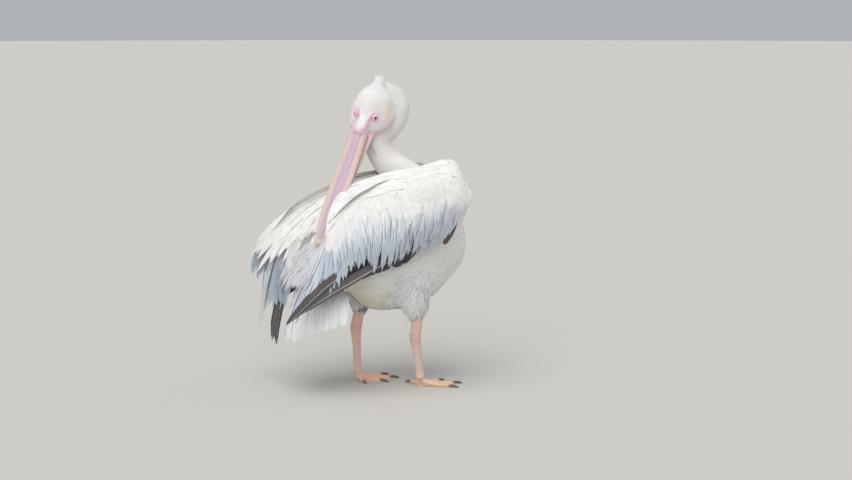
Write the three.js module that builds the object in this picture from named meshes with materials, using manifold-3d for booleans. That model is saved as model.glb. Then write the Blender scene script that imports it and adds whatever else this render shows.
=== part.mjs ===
// Great white pelican, life size, standing with its head turned over its back to preen.
// Millimetres. +X is the way the breast faces, +Y the bird's left, +Z up, with the soles at Z = 0.
import * as THREE from "three";
import { mergeVertices } from "three/addons/utils/BufferGeometryUtils.js";
import Module from "manifold-3d";

const wasm = await Module();
wasm.setup();

// ---------- driving sizes ----------

const GAP = 0.35; // left between pieces that meet
const BILL_LENGTH = 368; // forehead feathers to the tip of the nail
const EYE_RADIUS = 8.5;
const SHANK_RADIUS = 9.5;
const WEB_THICKNESS = 3;
const VANE_THICKNESS = 2.2; // a layer of flight feathers at its tips
const COAT_THICKNESS = 16; // a folded wing's layers at its upper edge

// The head's own frame: +X along the bill, +Y to the bird's left, +Z out of the crown.
const HEAD = {
  at: [-72, 16.5, 723], // where the forehead feathers meet the bill
  turn: -154, // from straight ahead, over the right shoulder
  pitch: -58, // below the horizon
  roll: -22, // left cheek down
};

const COLOURS = {
  plumage: [0.93, 0.92, 0.89],
  face: [0.93, 0.72, 0.7],
  bill: [0.86, 0.68, 0.66],
  pouch: [0.93, 0.78, 0.55],
  eye: [0.13, 0.05, 0.04],
  flight: [0.17, 0.15, 0.16],
  leg: [0.87, 0.6, 0.47],
  claw: [0.45, 0.34, 0.28],
};
const ROUGHNESS = { plumage: 0.85, eye: 0.08, bill: 0.4, claw: 0.4 };

// ---------- shape helpers ----------

const at = (list) => new THREE.Vector3(...list);
const curve = (...lists) => new THREE.CatmullRomCurve3(lists.map(at), false, "centripetal");
const mirrored = (lists) => lists.map(([x, y, z]) => [x, -y, z]);

// Rounds off the first and last share of a loft, as on an egg.
function capped(t, [first, last]) {
  const from = Math.min(1, t / first);
  const to = Math.min(1, (1 - t) / last);
  return Math.sqrt(1 - (1 - from) ** 2) * Math.sqrt(1 - (1 - to) ** 2);
}

// A rounded body along its stations, each [centre, half width, half height, pear]. A sphere's rings are
// moved onto the stations. Where pear is above 0 the lower half is wider than the upper.
function loft(stations, { around = 24, along = 20, caps = [0.15, 0.15], side = [0, 1, 0], grow = 0 }) {
  const spine = curve(...stations.map(([centre]) => centre));
  const sizes = curve(...stations.map(([, wide, high, pear = 0]) => [wide, high, pear * 50]));
  const shape = new THREE.SphereGeometry(1, around, along);
  const place = shape.getAttribute("position");
  for (let i = 0; i < place.count; i++) {
    const p = new THREE.Vector3().fromBufferAttribute(place, i);
    const t = Math.acos(THREE.MathUtils.clamp(p.y, -1, 1)) / Math.PI;
    const ring = Math.hypot(p.x, p.z);
    const across = ring > 1e-6 ? p.x / ring : 0;
    const up = ring > 1e-6 ? p.z / ring : 0;
    const tangent = spine.getTangent(t);
    const left = at(side).addScaledVector(tangent, -at(side).dot(tangent)).normalize();
    const top = new THREE.Vector3().crossVectors(tangent, left);
    const size = sizes.getPoint(t);
    const round = capped(t, caps);
    const wide = (size.x * (1 - (size.z / 50) * up) + grow) * round;
    const high = (size.y + grow) * round;
    const end = grow * (1 - round) * Math.sign(t - 0.5);
    p.copy(spine.getPoint(t)).addScaledVector(left, across * wide);
    p.addScaledVector(top, up * high).addScaledVector(tangent, end);
    place.setXYZ(i, p.x, p.y, p.z);
  }
  return shape;
}

// A layer of overlapping feathers: a slab whose upper edge runs along roots and whose lower edge is cut
// into the feathers' tips. It bends through the middle curve. Thickness falls from thick[0] to thick[1].
function featherLayer({ roots, middle, tips, feathers, thick, tooth = 0.1, columns = 2, rows = 3, grow = 0 }) {
  const [upper, mid, lower] = [curve(...roots), curve(...middle), curve(...tips)];
  const shape = new THREE.BoxGeometry(1, 1, 1, feathers * columns, rows, 1);
  const place = shape.getAttribute("position");
  const pointAt = (s, t) => {
    const [a, b, c] = [upper, mid, lower].map((line) => line.getPoint(THREE.MathUtils.clamp(s, 0, 1)));
    return a.multiplyScalar((1 - t) ** 2).addScaledVector(b, 2 * t * (1 - t)).addScaledVector(c, t * t);
  };
  for (let i = 0; i < place.count; i++) {
    const s = place.getX(i) + 0.5;
    const down = 0.5 - place.getY(i);
    const fromQuill = Math.abs(((s * feathers) % 1) * 2 - 1);
    const t = down * (1 - tooth * (1 - Math.sqrt(Math.max(0, 1 - fromQuill ** 2))));
    const alongEdge = pointAt(s + 0.01, t).sub(pointAt(s - 0.01, t));
    const downEdge = pointAt(s, t + 0.01).sub(pointAt(s, t - 0.01));
    const out = alongEdge.clone().cross(downEdge).normalize();
    const half = THREE.MathUtils.lerp(thick[0], thick[1], down) / 2 + grow;
    const p = pointAt(s, t).addScaledVector(out, 2 * place.getZ(i) * half);
    p.addScaledVector(alongEdge.normalize(), grow * ((s > 0.999) - (s < 0.001)));
    p.addScaledVector(downEdge.normalize(), grow * ((down > 0.999) - (down < 0.001)));
    place.setXYZ(i, p.x, p.y, p.z);
  }
  return shape;
}

// ---------- solids ----------

function toSolid(geometry) {
  const bare = geometry.clone();
  bare.deleteAttribute("normal");
  bare.deleteAttribute("uv");
  const merged = mergeVertices(bare, 1e-3);
  const solid = new wasm.Manifold(
    new wasm.Mesh({
      numProp: 3,
      vertProperties: merged.getAttribute("position").array,
      triVerts: new Uint32Array(merged.index.array),
    }),
  );
  if (solid.volume() >= 0) return solid;
  for (let i = 0; i < merged.index.array.length; i += 3) {
    const [b, c] = merged.index.array.slice(i + 1, i + 3);
    merged.index.array.set([c, b], i + 1);
  }
  return toSolid(merged);
}

function toGeometry(solid) {
  const mesh = solid.getMesh();
  const shape = new THREE.BufferGeometry();
  const spots = new Float32Array(mesh.numVert * 3);
  for (let i = 0; i < mesh.numVert; i++) {
    spots.set(mesh.vertProperties.subarray(i * mesh.numProp, i * mesh.numProp + 3), i * 3);
  }
  shape.setAttribute("position", new THREE.BufferAttribute(spots, 3));
  shape.setIndex(new THREE.BufferAttribute(mesh.triVerts, 1));
  shape.computeVertexNormals();
  return shape;
}

// Cutting a thin layer can leave crumbs, so only the largest body of a cut is kept.
function largest(solid) {
  return solid.decompose().reduce((best, body) => (body.volume() > best.volume() ? body : best));
}

const headFrame = new THREE.Matrix4().compose(
  at(HEAD.at),
  new THREE.Quaternion().setFromEuler(
    new THREE.Euler(
      THREE.MathUtils.degToRad(HEAD.roll),
      THREE.MathUtils.degToRad(-HEAD.pitch),
      THREE.MathUtils.degToRad(HEAD.turn),
      "ZYX",
    ),
  ),
  new THREE.Vector3(1, 1, 1),
);
const inHead = (geometry) => geometry.applyMatrix4(headFrame);
const fromHead = (list) => at(list).applyMatrix4(headFrame).toArray();

// ---------- head and bill, in the head's frame ----------

const SKULL = [
  [[-138, 0, -32], 30, 30, 0],
  [[-118, 0, -34], 44, 41, 0],
  [[-94, 0, -37], 56, 48, 0.2],
  [[-64, 0, -37], 63, 48, 0.4],
  [[-34, 0, -34], 57, 39, 0.62],
  [[-8, 0, -28], 39, 28, 0.5],
  [[14, 0, -20], 22, 15, 0.1],
];
const CREST = [
  [[-112, 3, 0], 20, 9],
  [[-132, 4, 0], 17, 7],
  [[-148, 5, -1], 10, 4],
];
const UPPER_BILL = [
  [[-22, 0, -16], 20, 12],
  [[8, 0, -15], 23, 13],
  [[90, 0, -15], 26, 9],
  [[180, 0, -17], 28, 6.5],
  [[265, 0, -19], 25, 5.5],
  [[330, 0, -20], 17, 5],
  [[BILL_LENGTH, 0, -25], 7, 6],
];
const LOWER_BILL = [
  [[-34, 0, -42], 38, 10],
  [[8, 0, -37], 36, 9],
  [[90, 0, -31], 32, 7],
  [[180, 0, -30], 27, 6],
  [[265, 0, -30], 22, 5],
  [[330, 0, -31], 14, 4],
  [[BILL_LENGTH - 14, 0, -33], 5, 3],
];
const POUCH = [
  [[-52, 0, -66], 30, 18],
  [[8, 0, -60], 24, 20],
  [[90, 0, -50], 17, 16],
  [[180, 0, -43], 11, 10],
  [[265, 0, -39], 7, 6],
];
const EYE = [-32, 28.5, -11];

const head = (grow) => inHead(loft(SKULL, { caps: [0.3, 0.12], around: 18, along: 12, grow }));
const crest = () => inHead(loft(CREST, { around: 8, along: 8, caps: [0.3, 0.6] }));
const upperBill = (grow) => inHead(loft(UPPER_BILL, { around: 10, along: 14, caps: [0.05, 0.05], grow }));
const lowerBill = (grow) => inHead(loft(LOWER_BILL, { around: 10, along: 12, caps: [0.05, 0.05], grow }));
const pouch = (grow) => inHead(loft(POUCH, { around: 10, along: 10, caps: [0.3, 0.4], grow }));
const eye = (side, grow) => {
  const ball = new THREE.SphereGeometry(EYE_RADIUS + grow, 10, 7);
  return inHead(ball.translate(EYE[0], side * EYE[1], EYE[2]));
};

// ---------- neck and trunk ----------

const NECK = [
  [[150, 0, 462], 78, 70],
  [[112, 2, 528], 68, 60],
  [[58, 12, 576], 54, 50],
  [[12, 34, 618], 43, 43],
  [[-8, 52, 672], 38, 39],
  [[34, 60, 718], 41, 43],
  [[52, 68, 760], 46, 46],
  [[34, 72, 796], 42, 42],
  [fromHead([-100, 4, -40]), 38, 36],
];
const NECK_PARTING = 655; // height of the cut between the two lengths of neck
const TRUNK = [
  [[-238, 0, 326], 38, 40],
  [[-196, 0, 350], 66, 68],
  [[-130, 0, 370], 94, 116],
  [[-50, 0, 374], 114, 170],
  [[40, 0, 378], 122, 174],
  [[115, 0, 408], 112, 146],
  [[180, 0, 442], 92, 116],
  [[230, 0, 464], 56, 72],
];
const neck = (grow) => loft(NECK, { around: 14, along: 20, caps: [0.05, 0.12], side: [0.2, 1, 0.1], grow });
const trunk = (grow) => loft(TRUNK, { around: 20, along: 16, caps: [0.12, 0.2], grow });

// ---------- tail ----------

const TAIL_SIDE = {
  roots: [[-182, -46, 306], [-214, -34, 326]],
  middle: [[-157, -134, 272], [-236, -80, 262]],
  tips: [[-171, -142, 204], [-246, -90, 172]],
};
const TAIL_CENTRE = { roots: [-228, 0, 336], middle: [-290, 0, 262], tips: [-300, 0, 140] };
const acrossTail = (name) => [
  ...TAIL_SIDE[name],
  TAIL_CENTRE[name],
  ...mirrored(TAIL_SIDE[name]).reverse(),
];
const tail = (grow) =>
  featherLayer({
    roots: acrossTail("roots"),
    middle: acrossTail("middle"),
    tips: acrossTail("tips"),
    feathers: 14,
    thick: [12, VANE_THICKNESS],
    tooth: 0.12,
    grow,
  });

// ---------- wings ----------

// Each layer's curves run from the bend of the wing back to its rear end.
const RIGHT_WING = {
  coverts: {
    roots: [[190, -104, 556], [150, -96, 613], [70, -74, 596], [-40, -50, 574], [-140, -34, 538], [-196, -52, 470]],
    middle: [[196, -150, 520], [150, -172, 520], [60, -186, 500], [-50, -176, 480], [-160, -140, 440], [-220, -112, 390]],
    tips: [[150, -142, 474], [106, -148, 416], [24, -154, 384], [-70, -152, 354], [-160, -144, 352], [-232, -130, 282]],
    feathers: 14,
    thick: [COAT_THICKNESS, VANE_THICKNESS],
    tooth: 0.1,
  },
  scapulars: {
    roots: [[20, -66, 576], [10, -36, 566], [-10, -4, 556]],
    middle: [[-110, -76, 566], [-120, -44, 556], [-130, -4, 534]],
    tips: [[-190, -72, 478], [-204, -40, 446], [-214, -5, 430]],
    feathers: 6,
    thick: [COAT_THICKNESS, VANE_THICKNESS],
    tooth: 0.12,
  },
  tertials: {
    roots: [[-150, -70, 480], [-190, -60, 450], [-214, -50, 420]],
    middle: [[-232, -132, 350], [-266, -108, 330], [-280, -84, 320]],
    tips: [[-282, -124, 258], [-318, -112, 222], [-338, -92, 194]],
    feathers: 6,
    thick: [10, VANE_THICKNESS],
    tooth: 0.2,
  },
  secondaries: {
    roots: [[70, -118, 452], [-60, -112, 430], [-150, -100, 410]],
    middle: [[40, -140, 400], [-110, -138, 370], [-200, -124, 340]],
    tips: [[-20, -138, 352], [-150, -136, 312], [-262, -120, 264]],
    feathers: 6,
    thick: [6, VANE_THICKNESS],
    tooth: 0.12,
  },
  primaries: {
    roots: [[112, -122, 434], [100, -126, 400]],
    middle: [[-110, -146, 370], [-118, -142, 346]],
    tips: [[-326, -114, 232], [-308, -114, 222]],
    feathers: 2,
    thick: [7, VANE_THICKNESS],
    tooth: 0.06,
    rows: 6,
  },
};
const LEFT_WING = {
  coverts: {
    roots: [[190, 104, 548], [150, 96, 588], [60, 90, 582], [-60, 88, 566], [-150, 92, 532], [-228, 115, 488], [-290, 134, 420]],
    middle: [[196, 150, 520], [150, 172, 520], [60, 186, 500], [-60, 180, 480], [-170, 172, 450], [-260, 168, 420], [-330, 156, 390]],
    tips: [[150, 142, 474], [106, 148, 416], [24, 154, 384], [-90, 156, 340], [-190, 154, 320], [-280, 152, 300], [-346, 144, 318]],
    feathers: 14,
    thick: [COAT_THICKNESS, VANE_THICKNESS],
    tooth: 0.1,
  },
  scapulars: {
    roots: [[10, 88, 574], [0, 50, 568], [-10, 4, 556]],
    middle: [[-210, 128, 536], [-210, 80, 516], [-130, 8, 530]],
    tips: [[-352, 142, 386], [-336, 132, 330], [-262, 84, 366], [-210, 8, 424]],
    feathers: 6,
    thick: [COAT_THICKNESS, VANE_THICKNESS],
    tooth: 0.12,
  },
  tertials: {
    roots: [[-262, 128, 420], [-238, 106, 420], [-214, 84, 410]],
    middle: [[-310, 138, 330], [-272, 116, 330], [-240, 92, 330]],
    tips: [[-328, 140, 192], [-296, 130, 224], [-272, 104, 200]],
    feathers: 6,
    thick: [8, VANE_THICKNESS],
    tooth: 0.2,
  },
  secondaries: {
    roots: [[70, 118, 452], [-60, 112, 430], [-150, 100, 410]],
    middle: [[40, 140, 400], [-110, 138, 370], [-200, 126, 330]],
    tips: [[-20, 138, 352], [-150, 136, 300], [-262, 124, 232]],
    feathers: 6,
    thick: [6, VANE_THICKNESS],
    tooth: 0.12,
  },
  primaries: {
    roots: [[-20, 120, 440], [-30, 124, 410]],
    middle: [[-290, 134, 392], [-272, 132, 362]],
    tips: [[-306, 104, 124], [-290, 102, 124]],
    feathers: 2,
    thick: [7, VANE_THICKNESS],
    tooth: 0.06,
    rows: 6,
  },
};

// ---------- legs ----------

const RIGHT_LEG = {
  side: -1,
  hip: [34, -62, 326],
  hem: [52, -86, 194], // where the thigh's feathers end
  heel: [46, -82, 140],
  ankle: [64, -82, 11],
  turn: 14, // outwards
  hallux: -120,
};
const LEFT_LEG = {
  side: 1,
  hip: [-38, 60, 326],
  hem: [-56, 72, 196],
  heel: [-67, 70, 148],
  ankle: [-64, 66, 11],
  turn: -12,
  hallux: -80,
};
// Toes, outermost first: heading from straight ahead (outwards is positive) and length without the claw.
const TOES = [
  { heading: 24, length: 94 },
  { heading: -4, length: 106 },
  { heading: -36, length: 84 },
  { length: 54 }, // the hallux, whose heading differs from foot to foot
];
const TOE_RADIUS = 6;
const CLAW_LENGTH = 15;

const between = (a, b, share) => at(a).lerp(at(b), share).toArray();

function thigh({ hip, hem }, grow) {
  const stations = [
    [hip, 56, 66],
    [between(hip, hem, 0.35), 54, 60],
    [between(hip, hem, 0.7), 43, 46],
    [hem, 26, 28],
  ];
  return loft(stations, { around: 14, along: 8, caps: [0.2, 0.08], grow });
}

function shank({ hem, heel, ankle }, grow) {
  const stations = [
    [between(hem, heel, -0.25), 14, 16],
    [between(hem, heel, 0.35), 15, 17],
    [heel, 15, 18],
    [between(heel, ankle, 0.3), SHANK_RADIUS, 13],
    [between(heel, ankle, 0.75), SHANK_RADIUS, 12.5],
    [ankle, 13, 14],
  ];
  return loft(stations, { around: 8, along: 12, caps: [0.04, 0.06], grow });
}

// Where a toe points from the ankle, level with the floor.
function toeLine({ side, turn, hallux }, { heading = hallux }) {
  const angle = THREE.MathUtils.degToRad(side * (heading + turn));
  return new THREE.Vector3(Math.cos(angle), Math.sin(angle), 0);
}

function toeTip(leg, toe, beyond = 0) {
  return at([leg.ankle[0], leg.ankle[1], TOE_RADIUS - 1]).addScaledVector(toeLine(leg, toe), toe.length + beyond);
}

function toe(leg, digit) {
  const line = toeLine(leg, digit);
  const along = (share, z) =>
    at([leg.ankle[0], leg.ankle[1], z]).addScaledVector(line, digit.length * share).toArray();
  const stations = [
    [along(-0.04, 15), 11, 13],
    [along(0.16, 11), 8, 9],
    [along(0.4, TOE_RADIUS), TOE_RADIUS, TOE_RADIUS + 1],
    [along(0.7, TOE_RADIUS - 1), TOE_RADIUS - 1, TOE_RADIUS],
    [along(1, TOE_RADIUS - 2), TOE_RADIUS - 1.5, TOE_RADIUS - 1],
  ];
  return loft(stations, { around: 6, along: 5, caps: [0.15, 0.12] });
}

// The web runs from toe to toe with a hollow edge between their tips.
function web(leg) {
  const outline = new THREE.Shape();
  const heart = at([leg.ankle[0], leg.ankle[1], 0]).addScaledVector(toeLine(leg, TOES[1]), -8);
  outline.moveTo(heart.x, heart.y);
  TOES.forEach((digit, i) => {
    const tip = toeTip(leg, digit, -6);
    if (i === 0) {
      outline.lineTo(tip.x, tip.y);
      return;
    }
    const before = toeTip(leg, TOES[i - 1], -6);
    const hollow = before.clone().lerp(tip, 0.5).lerp(heart, 0.22);
    outline.quadraticCurveTo(hollow.x, hollow.y, tip.x, tip.y);
  });
  outline.closePath();
  return new THREE.ExtrudeGeometry(outline, { depth: WEB_THICKNESS, bevelEnabled: false, curveSegments: 4 });
}

function foot(leg) {
  const pieces = [web(leg), ...TOES.map((digit) => toe(leg, digit))].map(toSolid);
  return wasm.Manifold.union(pieces).trimByPlane([0, 0, 1], 0);
}

function claw(leg, digit) {
  const line = toeLine(leg, digit);
  const root = toeTip(leg, digit, -3);
  const stations = [
    [root.clone().setZ(5).toArray(), 3.2, 3.6],
    [root.clone().addScaledVector(line, CLAW_LENGTH * 0.5).setZ(5.2).toArray(), 2.6, 3],
    [root.clone().addScaledVector(line, CLAW_LENGTH).setZ(2.4).toArray(), 0.8, 1],
  ];
  return toSolid(loft(stations, { around: 5, along: 3, caps: [0.1, 0.15] })).trimByPlane([0, 0, 1], 0);
}

// ---------- assembly ----------

const pelican = new THREE.Group();

function add(name, finish, solid) {
  const colour = COLOURS[finish];
  const material = new THREE.MeshStandardMaterial({
    color: new THREE.Color(...colour),
    roughness: ROUGHNESS[finish] ?? 0.7,
    metalness: 0,
  });
  const mesh = new THREE.Mesh(toGeometry(solid), material);
  mesh.name = name;
  pelican.add(mesh);
}

const cut = (solid, ...others) => largest(wasm.Manifold.difference([solid, ...others]).simplify(0.15));

const eyes = { right: -1, left: 1 };
const grownHead = toSolid(head(GAP));
const skull = wasm.Manifold.union([toSolid(head(0)), toSolid(crest())]);
add("head", "face", cut(skull, ...Object.values(eyes).map((side) => toSolid(eye(side, GAP)))));
for (const [name, side] of Object.entries(eyes)) add(`${name}_eye`, "eye", toSolid(eye(side, 0)));

const bill = toSolid(upperBill(0));
const grownBill = toSolid(upperBill(GAP));
add("upper_bill", "bill", cut(bill, grownHead));
add("lower_bill", "bill", cut(toSolid(lowerBill(0)), grownHead, grownBill));
add("pouch", "pouch", cut(toSolid(pouch(0)), grownHead, grownBill, toSolid(lowerBill(GAP))));

const billCutters = [grownBill, toSolid(lowerBill(GAP)), toSolid(pouch(GAP))];
const grownTrunk = toSolid(trunk(GAP));
const wholeNeck = cut(toSolid(neck(0)), grownHead, grownTrunk, ...billCutters);
const [upperNeck, restOfNeck] = wholeNeck.splitByPlane([0, 0, 1], NECK_PARTING + GAP / 2);
add("neck_upper", "plumage", largest(upperNeck));
add("neck_lower", "plumage", largest(restOfNeck.trimByPlane([0, 0, -1], -(NECK_PARTING - GAP / 2))));

const wings = { right: RIGHT_WING, left: LEFT_WING };
const layerSolid = (layer, grow) => toSolid(featherLayer({ ...layer, grow }));
const neckCutter = toSolid(neck(GAP));
const outside = [];
for (const [side, wing] of Object.entries(wings)) {
  const covering = [];
  for (const [layer, finish] of [
    ["coverts", "plumage"],
    ["scapulars", "plumage"],
    ["tertials", "plumage"],
    ["primaries", "flight"],
    ["secondaries", "flight"],
  ]) {
    if (!wing[layer]) continue;
    const solid = layerSolid(wing[layer], 0);
    add(`${side}_${layer}`, finish, cut(solid, ...covering, ...billCutters, neckCutter, grownTrunk));
    covering.push(layerSolid(wing[layer], GAP));
  }
  outside.push(...covering);
}

const tailSolid = toSolid(tail(0));
add("tail", "plumage", cut(tailSolid, ...outside, grownTrunk));
outside.push(toSolid(tail(GAP)));
add("trunk", "plumage", cut(toSolid(trunk(0)), ...billCutters));

for (const [name, leg] of Object.entries({ right: RIGHT_LEG, left: LEFT_LEG })) {
  add(`${name}_thigh`, "plumage", cut(toSolid(thigh(leg, 0)), grownTrunk, ...outside));
  const shankSolid = cut(toSolid(shank(leg, 0)), toSolid(thigh(leg, GAP)));
  const footSolid = foot(leg);
  add(`${name}_shank`, "leg", shankSolid);
  add(`${name}_foot`, "leg", cut(footSolid, toSolid(shank(leg, GAP))));
  TOES.forEach((digit, i) => {
    add(`${name}_claw_${i + 1}`, "claw", cut(claw(leg, digit), footSolid));
  });
}

// The origin is the middle of the bounding box's floor.
const bounds = new THREE.Box3().setFromObject(pelican);
const middle = bounds.getCenter(new THREE.Vector3());
for (const mesh of pelican.children) mesh.geometry.translate(-middle.x, -middle.y, -bounds.min.z);

export default pelican;
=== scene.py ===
from math import cos, pi, radians, sin

import bmesh
import bpy
import numpy as np
from bpy.props import FloatProperty, FloatVectorProperty, IntProperty, PointerProperty
from mathutils import Matrix, Vector
from mathutils.bvhtree import BVHTree
from mathutils.kdtree import KDTree


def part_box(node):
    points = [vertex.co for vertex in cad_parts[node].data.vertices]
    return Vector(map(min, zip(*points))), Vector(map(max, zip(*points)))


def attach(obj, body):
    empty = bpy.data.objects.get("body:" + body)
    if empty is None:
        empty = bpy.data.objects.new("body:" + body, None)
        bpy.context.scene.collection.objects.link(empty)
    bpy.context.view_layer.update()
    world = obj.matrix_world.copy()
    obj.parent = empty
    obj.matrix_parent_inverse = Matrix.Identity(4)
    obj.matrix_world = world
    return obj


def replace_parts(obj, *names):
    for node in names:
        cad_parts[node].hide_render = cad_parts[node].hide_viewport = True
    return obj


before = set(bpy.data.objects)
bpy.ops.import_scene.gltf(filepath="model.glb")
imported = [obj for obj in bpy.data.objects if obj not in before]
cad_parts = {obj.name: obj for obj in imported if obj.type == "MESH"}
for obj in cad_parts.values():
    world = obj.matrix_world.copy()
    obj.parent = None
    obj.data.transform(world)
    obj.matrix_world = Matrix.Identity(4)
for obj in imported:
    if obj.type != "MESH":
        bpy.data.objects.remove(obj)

bl_info = {
    "name": "Great White Pelican Model",
    "version": (1, 0, 0),
    "blender": (4, 5, 0),
    "location": "View3D > Sidebar > Pelican",
    "description": "Skin, plumage, bill and feet of a life-size standing pelican, over its solid model",
    "category": "Add Mesh",
}

# ---------- the bird's own measures, in millimetres ----------
# +X is the way the breast faces, +Y the bird's left, +Z up.

MM = 0.001
EYE_RADIUS = 8.5
EYE_AT = (-32, 28.5, -11)  # in the head's frame: +X along the bill, +Y left, +Z out of the crown
EYE_SUNK = 3.4  # how far an eyeball lies back in its socket
HEAD_AT = (-72, 16.5, 723)
HEAD_AXES = np.array(
    Matrix.Rotation(radians(-154), 3, "Z")
    @ Matrix.Rotation(radians(58), 3, "Y")
    @ Matrix.Rotation(radians(-22), 3, "X")
)

# The middle line of the neck, from the breast up to the back of the head.
NECK_LINE = (
    (150, 0, 462), (112, 2, 528), (58, 12, 576), (12, 34, 618), (-8, 52, 672),
    (34, 60, 718), (52, 68, 760), (34, 72, 796), (-30, 66, 805),
)

# Each tract of feathers bends from its roots through the middle curve to its tips.
# The curves run from the bend of the wing back to its rear end, or from the outside inwards.
RIGHT_WING = {
    "coverts": (
        ((190, -104, 556), (150, -96, 613), (70, -74, 596), (-40, -50, 574), (-140, -34, 538),
         (-196, -52, 470)),
        ((196, -150, 520), (150, -172, 520), (60, -186, 500), (-50, -176, 480), (-160, -140, 440),
         (-220, -112, 390)),
        ((150, -142, 474), (106, -148, 416), (24, -154, 384), (-70, -152, 354), (-160, -144, 352),
         (-232, -130, 282)),
    ),
    "scapulars": (
        ((20, -66, 576), (10, -36, 566), (-10, -4, 556)),
        ((-110, -76, 566), (-120, -44, 556), (-130, -4, 534)),
        ((-190, -72, 478), (-204, -40, 446), (-214, -5, 430)),
    ),
    "tertials": (
        ((-150, -70, 480), (-190, -60, 450), (-214, -50, 420)),
        ((-232, -132, 350), (-266, -108, 330), (-280, -84, 320)),
        ((-282, -124, 258), (-318, -112, 222), (-338, -92, 194)),
    ),
    "secondaries": (
        ((70, -118, 452), (-60, -112, 430), (-150, -100, 410)),
        ((40, -140, 400), (-110, -138, 370), (-200, -124, 340)),
        ((-20, -138, 352), (-150, -136, 312), (-262, -120, 264)),
    ),
    "primaries": (
        ((112, -122, 434), (100, -126, 400)),
        ((-110, -146, 370), (-118, -142, 346)),
        ((-326, -114, 232), (-308, -114, 222)),
    ),
}
LEFT_WING = {
    "coverts": (
        ((190, 104, 548), (150, 96, 588), (60, 90, 582), (-60, 88, 566), (-150, 92, 532),
         (-228, 115, 488), (-290, 134, 420)),
        ((196, 150, 520), (150, 172, 520), (60, 186, 500), (-60, 180, 480), (-170, 172, 450),
         (-260, 168, 420), (-330, 156, 390)),
        ((150, 142, 474), (106, 148, 416), (24, 154, 384), (-90, 156, 340), (-190, 154, 320),
         (-280, 152, 300), (-346, 144, 318)),
    ),
    "scapulars": (
        ((10, 88, 574), (0, 50, 568), (-10, 4, 556)),
        ((-210, 128, 536), (-210, 80, 516), (-130, 8, 530)),
        ((-352, 142, 386), (-336, 132, 330), (-262, 84, 366), (-210, 8, 424)),
    ),
    "tertials": (
        ((-262, 128, 420), (-238, 106, 420), (-214, 84, 410)),
        ((-310, 138, 330), (-272, 116, 330), (-240, 92, 330)),
        ((-328, 140, 192), (-296, 130, 224), (-272, 104, 200)),
    ),
    "secondaries": (
        ((70, 118, 452), (-60, 112, 430), (-150, 100, 410)),
        ((40, 140, 400), (-110, 138, 370), (-200, 126, 330)),
        ((-20, 138, 352), (-150, 136, 300), (-262, 124, 232)),
    ),
    "primaries": (
        ((-20, 120, 440), (-30, 124, 410)),
        ((-290, 134, 392), (-272, 132, 362)),
        ((-306, 104, 124), (-290, 102, 124)),
    ),
}
RUMP = (
    ((-170, -66, 420), (-185, 0, 425), (-175, 70, 420)),
    ((-240, -76, 400), (-255, 5, 405), (-245, 90, 400)),
    ((-266, -84, 305), (-292, 10, 290), (-282, 108, 290)),
)
TAIL = (
    ((-182, -46, 306), (-214, -34, 326), (-228, 0, 336), (-214, 34, 326), (-182, 46, 306)),
    ((-157, -134, 272), (-236, -80, 262), (-290, 0, 262), (-236, 80, 262), (-157, 134, 272)),
    ((-171, -142, 204), (-246, -90, 172), (-300, 0, 140), (-246, 90, 172), (-171, 142, 204)),
)
HEEL = {"right": (46, -82, 140), "left": (-67, 70, 148)}
ANKLE = {"right": (64, -82, 11), "left": (-64, 66, 11)}
# Single feathers that stand out: their quill's three guide points, width, colour, and a factor on that
# colour. The factor paints light onto the broad white feather whose under side lies in shade, and makes the
# others lighter or darker to suit the light on them.
LONE_FEATHERS = (
    (((-222, -110, 400), (-232, -128, 338), (-236, -130, 270)), 14, "sky_blue_shade", 0.94),
    (((-212, -112, 400), (-220, -130, 345), (-221, -131, 290)), 12, "sky_blue_shade", 0.86),
    (((-230, -108, 400), (-250, -126, 345), (-252, -124, 286)), 11, "sky_blue_shade", 0.98),
    (((-312, 138, 330), (-318, 141, 250), (-320, 138, 184)), 6, "sky_blue_shade", 1.0),
    (((-236, 62, 412), (-258, 58, 372), (-262, 54, 330)), 48, "white", 1.14),
    (((-312, 122, 280), (-332, 114, 222), (-338, 106, 166)), 12, "white", 1.0),
    (((-160, 52, 462), (-205, 48, 436), (-240, 44, 384)), 24, "rump", 1.05),
    (((-166, 38, 458), (-210, 34, 430), (-246, 30, 372)), 24, "rump", 1.0),
    (((-150, 26, 456), (-196, 22, 428), (-232, 18, 366)), 24, "rump", 1.08),
    (((-280, 118, 335), (-300, 110, 285), (-306, 100, 236)), 13, "sky_blue_shade", 1.05),
    (((-272, 118, 335), (-290, 108, 285), (-294, 98, 226)), 13, "sky_blue_shade", 0.95),
    (((-264, 118, 335), (-278, 108, 285), (-282, 96, 234)), 13, "sky_blue_shade", 1.08),
    (((-256, 116, 335), (-266, 106, 285), (-270, 96, 222)), 13, "sky_blue_shade", 1.0),
)
# The long blackish feathers of the near wing's tip: the line of the shaft, and the vane's width.
WING_TIP = (
    (((70, -118, 440), (-130, -152, 424), (-318, -112, 232)), 24),
    (((60, -120, 432), (-150, -156, 416), (-342, -116, 206)), 25),
    (((100, -124, 418), (-103, -163, 367), (-326, -116, 224)), 26),
)
# The two blackish feathers that show at the front edge of the near wing, in the same way.
DARK_SPOT = (
    (((138, -146, 452), (120, -152, 427), (99, -152, 404)), 14),
    (((146, -146, 474), (142, -148, 462), (136, -148, 446)), 4),
)

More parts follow.
